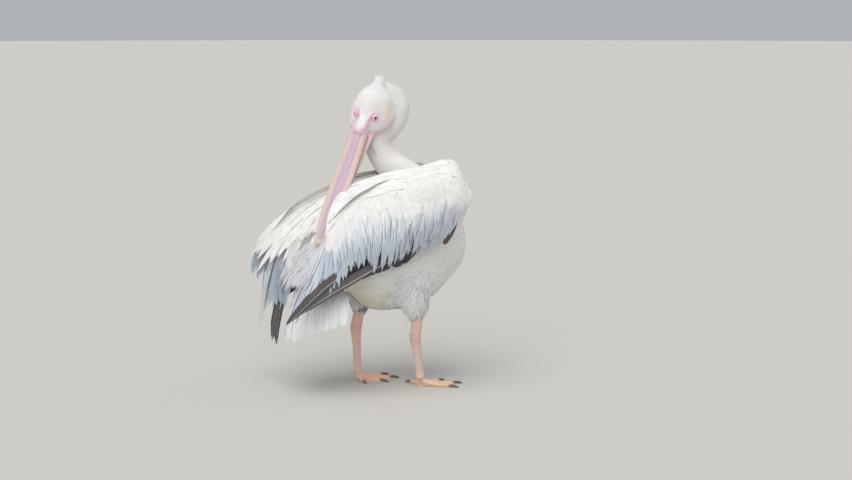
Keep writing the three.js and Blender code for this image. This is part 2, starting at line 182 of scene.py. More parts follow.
# Outlines of feathers: how far along from the root, and the share of the full width there.
TUFT = ((0, 0.5), (0.35, 1), (0.7, 0.8), (1, 0.06))
LANCE = ((0, 0.4), (0.2, 0.85), (0.45, 1), (0.68, 0.92), (0.85, 0.62), (0.95, 0.3), (1, 0.05))
PADDLE = ((0, 0.35), (0.15, 0.7), (0.4, 0.95), (0.65, 1), (0.86, 0.96), (0.94, 0.74), (0.985, 0.4), (1, 0.1))
FLIGHT = ((0, 0.5), (0.2, 0.8), (0.5, 0.95), (0.75, 1), (0.9, 0.86), (0.965, 0.55), (1, 0.12))
CLAW = ((0, 1), (0.35, 0.95), (0.6, 0.72), (0.8, 0.45), (1, 0.14))

SKIN_NODES = {
    "head": "head", "neck_upper": "neck", "neck_lower": "neck", "trunk": "trunk", "pouch": "pouch",
    "right_thigh": "thigh", "left_thigh": "thigh",
}
LEG_NODES = ("right_shank", "left_shank", "right_foot", "left_foot")
REGIONS = ("head", "neck", "trunk", "pouch", "thigh", "wing", "leg")

# ---------- how skin and feathers are made, in metres unless a comment says otherwise ----------

WING_FLESH = (
    # tract, how far down it the flesh goes, and how many millimetres under the feathers it lies
    ("coverts", 0.70, 3.6),
    ("scapulars", 0.75, 3.0),
)
FLESH_THICKNESS = 0.007
SLEEVE = 0.0016  # how far the skin stands off the root of the bill
ARM_AT = (88, 104, 503)  # the middle of the left arm in the bird's own measures; the right one mirrors it
ARM_REACH = (104, 45, 84)  # half its length, its width and its height, in millimetres
PUSH = 0.0008  # closes the gaps between the nodes before they become one skin
CREASE_DEPTH = 0.0011
SOLE_HEIGHT = 0.0009  # below this the skin of the feet is laid on the floor
# How many millimetres of coat the skin leaves room for under the solids' surface.
COAT_DEPTH = {"head": 1.8, "neck": 3.0, "trunk": 6.0, "thigh": 6.0, "wing": 0.0, "pouch": 0.0, "leg": 0.0}

BAKE_PATCH = 0.003  # how wide one feather's patch is on the skin's unwrap
TUFT_THICKNESS = 0.0004
QUILL_RISE = 0.0007  # how far a quill's middle stands over its vane's
QUILL_DEPTH = 0.0016
TUFT_FACES = 11  # of a small feather, by which larger ones are weighed
MOST_FEATHERS = 9000  # small ones in one piece, which keeps it under 200,000 triangles
ROOTS_TRIED = 2.6  # for each root that the skin has room for
CLOSEST_ROOTS = 0.82  # as a share of the spacing wanted there
COVER_START = 0.004  # a wing between these two distances off the body hides it
COVER_REACH = 0.08
# Added to the seed, so that each tract of long feathers has random numbers of its own.
SEED_STEPS = {
    "right_coverts": 40, "left_coverts": 60, "right_shoulder": 80, "left_shoulder": 90,
    "right_flight": 110, "left_flight": 120, "tail": 140,
}

CONTOUR = {
    # region: feather length, width, spacing, lift at the root, lift at the tip, turn, cling
    "head": ("head_feather", 0.0032, 0.0023, 0.0001, 0.0006, 0.08, 1.0),
    "neck": ("neck_feather", 0.0044, 0.0031, 0.0001, 0.0007, 0.06, 1.0),
    "trunk": ("trunk_feather", 0.0080, 0.0051, 0.0010, 0.0024, 0.09, 0.98),
    "thigh": ("thigh_feather", 0.0046, 0.0036, 0.0008, 0.0048, 0.15, 0.50),
    "wing": ("wing_feather", 0.0140, 0.0080, 0.0004, 0.0012, 0.05, 1.0),
}

# Each half of the bill, in millimetres: places along it in the head's frame, and there its half width,
# the height of its middle, and half its depth.
BILL = {
    "upper_bill": (
        (-22, 8, 90, 180, 265, 330, 368), (20, 23, 26, 28, 25, 17, 7),
        (-16, -15, -15, -17, -19, -20, -25), (12, 13, 9, 6.5, 5.5, 5, 6),
    ),
    "lower_bill": (
        (-34, 8, 90, 180, 265, 330, 354), (38, 36, 32, 27, 22, 14, 5),
        (-42, -37, -31, -30, -30, -31, -33), (10, 9, 7, 6, 5, 4, 3),
    ),
}
CLAW_WIDTH = 0.0062
CLAW_DEPTH = 0.0070
PUPIL_TONE = (0.004, 0.003, 0.003)
EYEBALL_TONE = (0.02, 0.012, 0.012)

# ---------- the view ----------

FOCAL_PIXELS = 1607
PICTURE_WIDTH = 852
PICTURE_HEIGHT = 480
SENSOR_WIDTH = 36
GROUND_PIXEL = (388, 382)  # where the point under the belly falls in the picture
VIEW_TURN = radians(-25)
VIEW_TILT = radians(8)
VIEW_DISTANCE = 4.5
FLOOR_RADIUS = 60


# ---------- places ----------

def head_to_bird(points):
    return np.asarray(points, float) @ HEAD_AXES.T + HEAD_AT


def eye_place(side):
    """The middle of an eye in the head's frame, where side is 1 for the left and -1 for the right."""
    return np.array((EYE_AT[0], side * EYE_AT[1], EYE_AT[2]))


def shift_to_frame():
    """The step from the bird's own measures to the frame, found from where the frame has the right eye."""
    low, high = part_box("right_eye")
    return np.array((low + high) / 2) / MM - head_to_bird(eye_place(-1))


SHIFT = shift_to_frame()


def to_frame(points):
    return (np.asarray(points, float) + SHIFT) * MM


def to_bird(points):
    return np.asarray(points, float) / MM - SHIFT


def to_head(points):
    """Where points of the frame lie in the head's own frame, in millimetres."""
    return (to_bird(points) - HEAD_AT) @ HEAD_AXES


def head_to_frame(points):
    return to_frame(head_to_bird(points))


def mirrored_head(points):
    """Places in the head's frame, with the right half laid over the left."""
    p = to_head(points)
    p[:, 1] = np.abs(p[:, 1])
    return p


def eye_distance(points):
    """Distance in millimetres to the nearer eye."""
    return np.linalg.norm(mirrored_head(points) - EYE_AT, axis=1)


def unit(vectors):
    length = np.linalg.norm(vectors, axis=-1, keepdims=True)
    return vectors / np.maximum(length, 1e-12)


def ramp(values, low, high):
    """0 below low, 1 above high, and a smooth rise between them."""
    share = np.clip((np.asarray(values, float) - low) / (high - low), 0, 1)
    return share * share * (3 - 2 * share)


def mixed(first, second, share):
    share = np.asarray(share, float)[..., None]
    return np.asarray(first) * (1 - share) + np.asarray(second) * share


def inside(regions, name):
    """Which of the numbered regions are the named one."""
    return regions == REGIONS.index(name)


def painted(tone, regions, name, paint):
    """The tone, but the paint where the region is the named one."""
    return np.where(inside(regions, name)[:, None], paint, tone)


def stations_of(outline):
    """How far along each station of an outline is, and the share of the width there."""
    return np.array(outline, float).T


def bend(a, b, c, t):
    """Points at shares t of a bend that runs from a to c and is drawn towards b."""
    return a * (1 - t) ** 2 + b * 2 * t * (1 - t) + c * t * t


def search_tree(points):
    tree = KDTree(len(points))
    for i, point in enumerate(points):
        tree.insert(point, i)
    tree.balance()
    return tree


def along_curve(points, shares):
    """Points on a smooth curve through the given ones; shares run from 0 at the first to 1 at the last."""
    points = np.asarray(points, float)
    ends = np.vstack([2 * points[0] - points[1], points, 2 * points[-1] - points[-2]])
    place = np.clip(np.asarray(shares, float), 0, 1) * (len(points) - 1)
    leg = np.minimum(place.astype(int), len(points) - 2)
    w = (place - leg)[..., None]
    p0, p1, p2, p3 = (ends[leg + k] for k in range(4))
    legs = ((p0, p1), (p1, p2), (p2, p3))
    d0, d1, d2 = (np.sqrt(np.linalg.norm(b - a, axis=-1, keepdims=True)) for a, b in legs)
    start = ((p1 - p0) / d0 - (p2 - p0) / (d0 + d1) + (p2 - p1) / d1) * d1
    end = ((p2 - p1) / d1 - (p3 - p1) / (d1 + d2) + (p3 - p2) / d2) * d1
    return (
        p1 + start * w + (-3 * p1 + 3 * p2 - 2 * start - end) * w**2
        + (2 * p1 - 2 * p2 + start + end) * w**3
    )


class Tract:
    """The bent sheet that a tract of feathers lies on.
    s runs along its edges, t runs from the roots to the tips, and facing is 1 or -1, for the outside."""

    def __init__(self, curves, facing=1):
        self.curves = curves
        self.facing = facing

    def at(self, s, t):
        a, b, c = (along_curve(line, s) for line in self.curves)
        return bend(a, b, c, np.asarray(t, float)[..., None])

    def out(self, s, t):
        edge = self.at(np.clip(s + 0.01, 0, 1), t) - self.at(np.clip(s - 0.01, 0, 1), t)
        down = self.at(s, t + 0.01) - self.at(s, t - 0.01)
        return unit(np.cross(edge, down)) * self.facing

    def down(self, s, t):
        return unit(self.at(s, t + 0.02) - self.at(s, t - 0.02))


class RootStrip:
    """The strip over the roots of a tract, whose feathers lie along the edge.
    t runs from front to rear, and s down from the edge."""

    def __init__(self, tract, down, along):
        self.tract = tract
        self.down = down
        self.along = along

    def on_tract(self, s, t):
        return (self.along[0] + (self.along[1] - self.along[0]) * np.asarray(t, float),
                self.down[0] + (self.down[1] - self.down[0]) * np.asarray(s, float))

    def at(self, s, t):
        return self.tract.at(*self.on_tract(s, t))

    def out(self, s, t):
        return self.tract.out(*self.on_tract(s, t))


def wing_tract(side, name):
    return Tract(RIGHT_WING[name], 1) if side == "right" else Tract(LEFT_WING[name], -1)


def surface_height(t):
    """How far a folded wing's outside stands off its tract's middle, in millimetres."""
    return 8.0 + (1.1 - 8.0) * t


def along_roots(t):
    """The height of the feathers that lie along a wing's upper edge, over the roots of its coverts."""
    return surface_height(0.1) + 1.2 + 0 * t


def thin(t):
    """The height of feathers on a thin tract."""
    return 1.0 + 0 * t


def draws(name):
    """The random numbers of one tract of feathers."""
    return np.random.default_rng(sizes().seed + SEED_STEPS[name])


# ---------- the sizes and colours that a user would change ----------

def length(name, description, default):
    return FloatProperty(
        name=name, description=description, default=default, min=0, unit="LENGTH", precision=4
    )


def colour(name, description, default):
    return FloatVectorProperty(
        name=name, description=description, default=default, size=3, min=0, max=1, subtype="COLOR"
    )


class PelicanSizes(bpy.types.PropertyGroup):
    body_grain: length("Body grain", "How fine the body's skin mesh is", 0.0044)
    foot_grain: length("Foot grain", "How fine the skin mesh of the feet is", 0.0019)
    bill_grain: length("Bill grain", "How fine the bill's mesh is", 0.0020)
    head_feather: length("Head feather", "Length of a feather on the crown", 0.010)
    neck_feather: length("Neck feather", "Length of a feather on the neck", 0.016)
    trunk_feather: length("Body feather", "Length of a feather on the breast and belly", 0.030)
    thigh_feather: length("Thigh feather", "Length of a feather on the thighs", 0.038)
    wing_feather: length("Wing feather", "Length of the small feathers at the top of a wing", 0.034)
    vane_thickness: length("Vane thickness", "Thickness of a large feather at its quill", 0.0008)
    eye_opening: length("Eye opening", "Half the width of the gap between the lids", 0.0042)
    seed: IntProperty(name="Seed", description="Picks where each feather falls", default=7, min=0)


class PelicanColours(bpy.types.PropertyGroup):
    white: colour("White", "Plumage of the back and the upper wings", (0.86, 0.85, 0.825))
    # Cream. On the belly it also stands for painted shade under the body.
    cream_and_belly_shade: colour("Cream", "Plumage of the belly", (0.76, 0.74, 0.61))
    # Painted shade: this is the colour of white feathers in shade, tinted blue by the sky's reflection.
    sky_blue_shade: colour("Bluish white", "Long hanging feathers of the wings", (0.6, 0.675, 0.765))
    blackish: colour("Blackish", "Flight feathers", (0.1, 0.087, 0.092))
    quill: colour("Quill", "Shafts of the flight feathers", (0.80, 0.78, 0.74))
    neck_blush: colour("Neck blush", "Feathers of the throat and the front of the neck", (0.72, 0.665, 0.66))
    face: colour("Face", "Bare skin of the face", (0.8, 0.72, 0.73))
    vivid: colour("Vivid pink", "Bare skin between the eyes and the bill", (0.78, 0.33, 0.52))
    ear_gold: colour("Cheek gold", "Rear border of the bare cheek", (0.8, 0.52, 0.24))
    bill_ridge: colour("Bill ridge", "Middle of the upper bill", (0.62, 0.46, 0.58))
    bill_gold: colour("Bill gold", "Bands beside the ridge of the bill", (0.76, 0.58, 0.49))
    bill_edge: colour("Bill edge", "Edges of the bill", (0.78, 0.62, 0.59))
    pouch: colour("Pouch", "Bare skin of the throat pouch", (0.76, 0.6, 0.42))
    leg: colour("Leg", "Scaly skin of the legs", (0.97, 0.66, 0.54))
    crease: colour("Leg crease", "Creases at the heel joint", (0.5, 0.22, 0.24))
    web: colour("Web", "Webs between the toes", (0.95, 0.64, 0.41))
    claw: colour("Claw", "Horn of the claws", (0.10, 0.07, 0.055))
    iris: colour("Iris", "Ring round the pupil", (0.10, 0.016, 0.012))
    # Painted shadow: thin feathers of this dark colour stand for the shade in the gaps between hanging
    # feathers.
    streak: colour("Streak", "Dark lines between the hanging feathers", (0.33, 0.32, 0.365))
    rump: colour("Rump", "Feathers over the root of the tail", (0.64, 0.64, 0.67))
    peach: colour("Peach", "Bare skin from the cheek down to the corner of the mouth", (0.77, 0.56, 0.50))
    floor: colour("Floor", "Plain floor under the model", (0.60, 0.58, 0.54))


def sizes():
    return bpy.context.scene.pelican_sizes


def colours():
    return bpy.context.scene.pelican_colours


# ---------- finishes ----------

class Finish:
    """A material and short ways to add its nodes."""

    def __init__(self, name):
        self.material = bpy.data.materials.new(name)
        self.material.use_nodes = True
        self.nodes = self.material.node_tree.nodes
        self.links = self.material.node_tree.links
        self.shader = self.nodes["Principled BSDF"]

    def add(self, kind, inputs=(), **settings):
        node = self.nodes.new("ShaderNode" + kind)
        for key, value in settings.items():
            setattr(node, key, value)
        for key, value in dict(inputs).items():
            if isinstance(value, bpy.types.NodeSocket):
                self.links.new(value, node.inputs[key])
            else:
                node.inputs[key].default_value = value
        return node

    def math(self, operation, *values):
        return self.add("Math", dict(enumerate(values)), operation=operation).outputs[0]

    def fixed(self, **values):
        """Sets numbers that are the same all over the surface on the shader's own sockets."""
        for key, value in values.items():
            self.shader.inputs[key.replace("_", " ")].default_value = value

    def tone(self, name="tone"):
        return self.add("Attribute", attribute_name=name).outputs["Color"]

    def spots(self, scale, detail=2.0, roughness=0.5, squeeze=(1, 1, 1)):
        place = self.add("TexCoord").outputs["Object"]
        moved = self.add("Mapping", {"Vector": place, "Scale": squeeze}).outputs[0]
        look = {"Vector": moved, "Scale": scale, "Detail": detail, "Roughness": roughness}
        return self.add("TexNoise", look).outputs["Fac"]

    def shaded(self, tone, share, low):
        """The tone, darkened to low of itself where share is 0."""
        factor = self.add("MapRange", {0: share, 1: 0.0, 2: 1.0, 3: low, 4: 1.0}).outputs[0]
        return self.add("VectorMath", {0: tone, 3: factor}, operation="SCALE").outputs[0]

    def finish(self, colour_socket, height=None, strength=0.3, distance=0.001):
        self.links.new(colour_socket, self.shader.inputs["Base Color"])
        if height is not None:
            bump = self.add("Bump", {"Height": height, "Strength": strength, "Distance": distance})
            self.links.new(bump.outputs[0], self.shader.inputs["Normal"])
        return self.material


def feather_finish(name, roughness, barbs, shaft, edge):
    """Barbs slant away from a faint shaft. Barbs are counted along the vane."""
    made = Finish(name)
    vane = made.add("UVMap", uv_map="vane").outputs[0]
    split = made.add("SeparateXYZ", {0: vane}).outputs
    off_shaft = made.math("MULTIPLY", made.math("ABSOLUTE", made.math("SUBTRACT", split[0], 0.5)), 2.0)
    swept = made.math("MULTIPLY", off_shaft, barbs / 9)
    slant = made.math("SUBTRACT", made.math("MULTIPLY", split[1], barbs), swept)
    wave = made.math("SINE", made.math("MULTIPLY", slant, 2 * pi))
    grain = made.spots(260, 3.0, 0.6)
    barb = made.math("ADD", made.math("MULTIPLY", wave, 0.5), made.math("MULTIPLY", grain, 1.6))
    on_shaft = made.math("LESS_THAN", off_shaft, shaft)
    height = made.math("ADD", made.math("MULTIPLY", barb, 0.35), made.math("MULTIPLY", on_shaft, 0.7))
    mottle = made.spots(46, 2.0)
    tone = made.shaded(made.tone(), mottle, 0.93)
    rim = made.add("MapRange", {0: off_shaft, 1: 0.55, 2: 1.0, 3: 1.0, 4: edge}).outputs[0]
    tone = made.add("VectorMath", {0: tone, 3: rim}, operation="SCALE").outputs[0]
    made.fixed(Roughness=roughness, Specular_IOR_Level=0.25, Sheen_Weight=0.12, Sheen_Roughness=0.5)
    return made.finish(tone, height, 0.35, 0.0006)


def skin_finish():
    """Soft bare skin, fine wrinkles on the face and net-like scales on the legs."""
    made = Finish("bare_skin")
    place = made.add("TexCoord").outputs["Object"]
    scutes = made.add("TexVoronoi", {"Vector": place, "Scale": 270.0}, feature="DISTANCE_TO_EDGE")
    groove = made.add("MapRange", {0: scutes.outputs["Distance"], 1: 0.0, 2: 0.16, 3: 0.0, 4: 1.0}).outputs[0]
    scaly = made.add("Attribute", attribute_name="scaly").outputs["Fac"]
    fine = made.spots(420, 4.0, 0.65)
    folds = made.spots(90, 2.0, 0.5, (1, 1, 0.35))
    soft = made.math("ADD", made.math("MULTIPLY", fine, 0.5), made.math("MULTIPLY", folds, 0.6))
    height = made.add("Mix", {0: scaly, 2: soft, 3: groove}).outputs[0]
    dark = made.math("SUBTRACT", 1.0, made.math("MULTIPLY", made.math("SUBTRACT", 1.0, groove), scaly))
    tone = made.shaded(made.shaded(made.tone(), dark, 0.80), made.spots(70, 3.0), 0.86)
    made.fixed(Roughness=0.52, Specular_IOR_Level=0.4, Subsurface_Weight=0.08, Subsurface_Scale=0.004)
    return made.finish(tone, height, 0.45, 0.0012)


def horn_finish(name, roughness, lengthwise):
    """Smooth horn with fine streaks along the bill."""
    made = Finish(name)
    streaks = made.add("Attribute", attribute_name="streak").outputs["Fac"]
    lines = {"W": streaks, "Scale": lengthwise, "Detail": 3.0}
    fine = made.add("TexNoise", lines, noise_dimensions="1D").outputs[0]
    cloudy = made.spots(38, 3.0)
    tone = made.shaded(made.shaded(made.tone(), fine, 0.86), cloudy, 0.90)
    made.fixed(Roughness=roughness, Specular_IOR_Level=0.45, Coat_Weight=0.12, Coat_Roughness=0.25)
    grain = made.math("MULTIPLY", made.spots(300, 3.0), 0.4)
    height = made.math("ADD", made.math("MULTIPLY", fine, 0.8), grain)
    return made.finish(tone, height, 0.22, 0.0006)


def eye_finish():
    made = Finish("wet_eye")
    made.fixed(Roughness=0.06, IOR=1.38, Coat_Weight=1.0, Coat_Roughness=0.02)
    return made.finish(made.shaded(made.tone(), made.spots(900, 3.0), 0.7))


def floor_finish():
    made = Finish("plain_floor")
    plain = made.add("RGB")
    plain.outputs[0].default_value = (*colours().floor, 1)
    made.fixed(Roughness=0.9, Specular_IOR_Level=0.1)
    tone = made.shaded(plain.outputs[0], made.spots(9, 4.0), 0.96)
    return made.finish(tone, made.spots(160, 3.0), 0.1, 0.001)


def finish_named(name, make):
    return bpy.data.materials.get(name) or make()


def plumage_finish():
    return finish_named("soft_plumage", lambda: feather_finish("soft_plumage", 0.82, 16, 0.05, 0.97))


def hanging_finish():
    return finish_named("hanging_plumage", lambda: feather_finish("hanging_plumage", 0.74, 90, 0.07, 0.90))


def flight_finish():
    return finish_named("flight_feathers", lambda: feather_finish("flight_feathers", 0.5, 150, 0.04, 0.85))


# ---------- meshes ----------

def object_of(name, mesh):
    piece = bpy.data.objects.new(name, mesh)
    bpy.context.scene.collection.objects.link(piece)
    return piece


def mesh_of(name, shape):
    """A mesh of a bmesh's faces. The bmesh is freed."""
    mesh = bpy.data.meshes.new(name)
    shape.to_mesh(mesh)
    shape.free()
    return mesh


def dressed(piece, material):
    """Gives a finished piece its material and the body it stands with."""
    piece.data.materials.append(material)
    piece.data.shade_smooth()
    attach(piece, "root")
    return piece


def corners(mesh):
    place = np.zeros(len(mesh.vertices) * 3)
    mesh.vertices.foreach_get("co", place)
    return place.reshape(-1, 3)


def normals_of(mesh):
    values = np.zeros(len(mesh.vertices) * 3)
    mesh.vertex_normals.foreach_get("vector", values)
    return values.reshape(-1, 3)


def move_corners(mesh, places):
    mesh.vertices.foreach_set("co", np.ascontiguousarray(places, np.float32).ravel())
    mesh.update()


def links_of(mesh):
    pairs = np.zeros(len(mesh.edges) * 2, int)
    mesh.edges.foreach_get("vertices", pairs)
    return pairs.reshape(-1, 2)


def eased(values, links, rounds, share=0.5):
    """Values at a mesh's corners, evened out with their neighbours'."""
    values = np.array(values, float)
    flat = values.reshape(len(values), -1)
    first, second = links[:, 0], links[:, 1]
    count = len(flat)
    near = np.maximum(np.bincount(first, minlength=count) + np.bincount(second, minlength=count), 1)
    for _ in range(rounds):
        for column in range(flat.shape[1]):
            line = flat[:, column]
            total = np.bincount(first, line[second], count) + np.bincount(second, line[first], count)
            flat[:, column] = line * (1 - share) + total / near * share
    return flat.reshape(values.shape)


def rounded(places, links, rounds):
    """Smooths places without shrinking thin parts: each round evens them out and then draws them back."""
    for _ in range(rounds):
        places = eased(eased(places, links, 1, 0.5), links, 1, -0.52)
    return places


def store(mesh, name, values, kind="FLOAT_COLOR"):
    """Keeps a number, a direction or a colour at each corner of a mesh."""
    found = mesh.attributes.get(name) or mesh.attributes.new(name, kind, "POINT")
    values = np.asarray(values, np.float32)
    if kind == "FLOAT_COLOR":
        values = np.hstack([values, np.ones((len(values), 1), np.float32)])
    field = {"FLOAT_COLOR": "color", "FLOAT": "value", "FLOAT_VECTOR": "vector", "INT": "value"}[kind]
    found.data.foreach_set(field, values.astype(int).ravel() if kind == "INT" else values.ravel())


def stored(mesh, name, width, field):
    values = np.zeros(len(mesh.vertices) * width)
    mesh.attributes[name].data.foreach_get(field, values)
    return values.reshape(-1, width) if width > 1 else values


def merged_node(node, grow):
    """A copy of a CAD node's mesh with its corners joined, pushed out by grow metres."""
    copy = bmesh.new()
    copy.from_mesh(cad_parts[node].data)
    bmesh.ops.remove_doubles(copy, verts=copy.verts, dist=1e-6)
    copy.normal_update()
    moved = [v.co + v.normal * grow for v in copy.verts]
    for corner, place in zip(copy.verts, moved):
        corner.co = place
    return copy


def joined(parts):
    """One bmesh from several, which are freed."""
    whole = bmesh.new()
    for part in parts:
        keep = mesh_of("part", part)
        whole.from_mesh(keep)
        bpy.data.meshes.remove(keep)
    return whole


def remeshed(shape, grain):
    """The outside of a bmesh as one even closed mesh of that grain. The bmesh is freed."""
    mesh = mesh_of("even", shape)
    holder = object_of("even", mesh)
    remesh = holder.modifiers.new("even", "REMESH")
    remesh.mode = "VOXEL"
    remesh.voxel_size = grain
    remesh.adaptivity = 0
    bpy.context.view_layer.update()
    result = bpy.data.meshes.new_from_object(holder.evaluated_get(bpy.context.evaluated_depsgraph_get()))
    bpy.data.objects.remove(holder)
    bpy.data.meshes.remove(mesh)
    return result


# ---------- the skin ----------

def wing_flesh(side, name, reach, depth):
    """The arm and the skin under a tract's feathers: a grid bent to the tract and given a thickness."""
    tract = wing_tract(side, name)
    sheet = bmesh.new()
    bmesh.ops.create_grid(sheet, x_segments=36, y_segments=12, size=0.5)
    s = np.array([v.co.x + 0.5 for v in sheet.verts])
    t = np.array([(0.5 - v.co.y) * reach for v in sheet.verts])
    lift = surface_height(t) - depth
    places = to_frame(tract.at(s, t) + tract.out(s, t) * lift[:, None])
    for corner, place in zip(sheet.verts, places):
        corner.co = place
    sheet.normal_update()
    middle = len(places) // 2
    sheet.verts.ensure_lookup_table()
    outward = Vector(tract.out(s[middle:middle + 1], t[middle:middle + 1])[0])
    if sheet.verts[middle].normal.dot(outward) < 0:
        bmesh.ops.reverse_faces(sheet, faces=sheet.faces)
        sheet.normal_update()
    bmesh.ops.solidify(sheet, geom=sheet.faces[:], thickness=FLESH_THICKNESS)
    bmesh.ops.recalc_face_normals(sheet, faces=sheet.faces)
    return sheet


def bill_sleeve(node, reach):
    """The root of one half of the bill, as a form for the skin that runs out over it."""
    sleeve = merged_node(node, SLEEVE)
    front = Vector(head_to_frame((reach, 0, -20)))
    way = Vector(HEAD_AXES[:, 0])
    geometry = sleeve.verts[:] + sleeve.edges[:] + sleeve.faces[:]
    bmesh.ops.bisect_plane(sleeve, geom=geometry, plane_co=front, plane_no=way, clear_outer=True)
    bmesh.ops.holes_fill(sleeve, edges=[e for e in sleeve.edges if e.is_boundary])
    bmesh.ops.recalc_face_normals(sleeve, faces=sleeve.faces)
    return sleeve


def arm_flesh(side):
    """The folded arm, which fills the space between a wing's front and the body."""
    arm = bmesh.new()
    bmesh.ops.create_uvsphere(arm, u_segments=28, v_segments=20, radius=1)
    sign = -1 if side == "right" else 1
    centre = Vector(to_frame(ARM_AT) * (1, 0, 1) + to_frame((0, sign * ARM_AT[1], 0)) * (0, 1, 0))
    shape = Matrix.Diagonal((*(Vector(ARM_REACH) * MM), 1))
    bmesh.ops.transform(arm, verts=arm.verts, matrix=Matrix.Translation(centre) @ shape)
    return arm


def region_finder(parts):
    """A search tree over the parts' faces, and each face's region."""
    places, faces, regions = [], [], []
    for region, part in parts:
        start = len(places)
        part.verts.index_update()
        places += [v.co.copy() for v in part.verts]
        faces += [[start + v.index for v in face.verts] for face in part.faces]
        regions += [REGIONS.index(region)] * len(part.faces)
    return BVHTree.FromPolygons(places, faces), np.array(regions)


def bare_face(points):
    """How bare the head's skin is, from 0 under feathers to 1, at points of the frame."""
    p = to_head(points)
    across = np.abs(p[:, 1])
    forehead = np.interp(p[:, 0], (-60, -44, -30, -10, 12, 20), (27, 20, 15, 9, 2.5, -4))
    off_forehead = ramp(across - forehead, -1, 1.5)
    patch = np.hypot((p[:, 0] + 4) / 52, (p[:, 2] + 26) / 37)
    patch_of_face = 1 - ramp(patch, 0.92, 1.08)
    chin = ramp(p[:, 0], -44, -30) * ramp(-p[:, 2], 34, 44)
    return np.maximum(off_forehead * patch_of_face, chin * ramp(across, 0, 6))


def nearest_on_line(points, line):
    """Distance from each point to a line of points, and the share along it."""
    best = np.full(len(points), 1e9)
    share = np.zeros(len(points))
    for k, (a, b) in enumerate(zip(line[:-1], line[1:])):
        a, b = np.asarray(a, float), np.asarray(b, float)
        w = np.clip((points - a) @ (b - a) / ((b - a) @ (b - a)), 0, 1)
        gap = np.linalg.norm(points - a - w[:, None] * (b - a), axis=1)
        closer = gap < best
        best[closer] = gap[closer]
        share[closer] = (k + w[closer]) / (len(line) - 1)
    return best, share


def face_tone(points):
    """The bare face: pale pink, vivid from the eyes down to the bill, peach at the rear of the cheek."""
    p = mirrored_head(points)
    c = colours()
    tone = np.tile(np.array(c.face), (len(p), 1))
    to_bill, _ = nearest_on_line(p, ((-40, 21, -4), (-22, 19, -6), (-2, 16, -8), (18, 10, -6), (28, 6, -4)))
    vivid = 0.9 * (1 - ramp(to_bill, 3, 10))
    brow, _ = nearest_on_line(p, ((-40, 20, 0), (-46, 28, -4), (-52, 38, -12)))
    vivid = np.maximum(vivid, 0.6 * (1 - ramp(brow, 0.5, 3.5)))
    vivid = np.maximum(vivid, 0.35 * (1 - ramp(eye_distance(points), 9, 14)))
    tone = mixed(tone, c.vivid, vivid)
    tone = mixed(tone, c.bill_edge, ramp(p[:, 0], 12, 30) * ramp(p[:, 1], 8, 16))
    tone = mixed(tone, c.bill_ridge, ramp(p[:, 0], 18, 30) * (1 - ramp(p[:, 1], 5, 11)))
    cheek, _ = nearest_on_line(p, ((-48, 60, -46), (-28, 54, -52), (-6, 44, -48), (12, 32, -40)))
    return mixed(tone, c.peach, 0.8 * (1 - ramp(cheek, 4, 15)))


def cheek_gold(points):
    """How much of the golden patch at the rear of the cheek shows, from 0 to 1."""
    gap, _ = nearest_on_line(mirrored_head(points), ((-80, 48, -22), (-66, 52, -26), (-54, 54, -32)))
    return 0.46 * np.exp(-((gap / 9) ** 2))


def plumage_tone(points, regions):
    """The colour of the feathers, and of the skin under them, at points of the frame, with painted shade
    under the belly, on the thighs and on the hanging part of the wings.
    """
    c = colours()
    bird = to_bird(points)
    tone = np.tile(np.array(c.white), (len(points), 1))
    # Painted shade: the low rear of the belly, under the body, turns a darker cream.
    low = 1 - ramp(bird[:, 2], 225, 330)
    painted_belly_shade = low * ramp(130 - bird[:, 0], 0, 50)
    tone = painted(tone, regions, "trunk", mixed(tone, c.cream_and_belly_shade, painted_belly_shade))
    throat = ramp(bird[:, 2], 600, 700) * ramp(60 - bird[:, 0], 0, 60)
    tone = painted(tone, regions, "neck", mixed(tone, c.neck_blush, 0.85 * throat))
    # Painted shade: the white thighs take some of the sky-blue shade.
    tone = painted(tone, regions, "thigh", mixed(c.white, c.sky_blue_shade, 0.22))
    if inside(regions, "wing").any():
        # Painted shade: the hanging lower part of each wing, behind its front end, takes the sky-blue shade.
        hanging_shade = (1 - ramp(bird[:, 0], 60, 100)) * ramp(wing_share(points), 0.38, 0.84)
        tone = painted(tone, regions, "wing", mixed(tone, c.sky_blue_shade, hanging_shade))
    throat = 0.8 * ramp(-to_head(points)[:, 2], 40, 62)
    face = mixed(mixed(tone, c.neck_blush, throat), face_tone(points), bare_face(points) * 0.95)
    return painted(tone, regions, "head", mixed(face, c.ear_gold, cheek_gold(points)))


def leg_tone(points):
    """Orange-pink legs, deeper orange webs, a mauve rear to the right leg, and dark heel creases."""
    c = colours()
    bird = to_bird(points)
    tone = np.tile(np.array(c.leg), (len(points), 1))
    tone = mixed(tone, c.web, ramp(-bird[:, 2], -12, -5) * 0.85)
    tone = mixed(tone, c.bill_edge, 0.5 * ramp(bird[:, 2], 30, 60) * ramp(120 - bird[:, 2], 0, 40))
    rear = ramp(HEEL["right"][0] - bird[:, 0], -4, 8) * (bird[:, 1] < 0)
    tone = mixed(tone, c.bill_ridge, 0.25 * rear)
    return mixed(tone, c.crease, 0.9 * heel_creases(bird))


def heel_creases(bird):
    """How deep in a crease of the heel joint a point lies, from 0 to 1."""
    depth = np.zeros(len(bird))
    for heel in HEEL.values():
        near = np.abs(bird[:, 1] - heel[1]) < 40
        rise = bird[:, 2] - heel[2]
        wobble = 1.6 * np.sin(bird[:, 1] * 0.35 + bird[:, 0] * 0.2)
        rings = np.maximum(0, np.cos(2 * pi * (rise + wobble) / 8.5)) ** 8
        band = ramp(rise, -26, -16) * ramp(16 - rise, 0, 8)
        depth = np.maximum(depth, near * rings * band)
    return depth


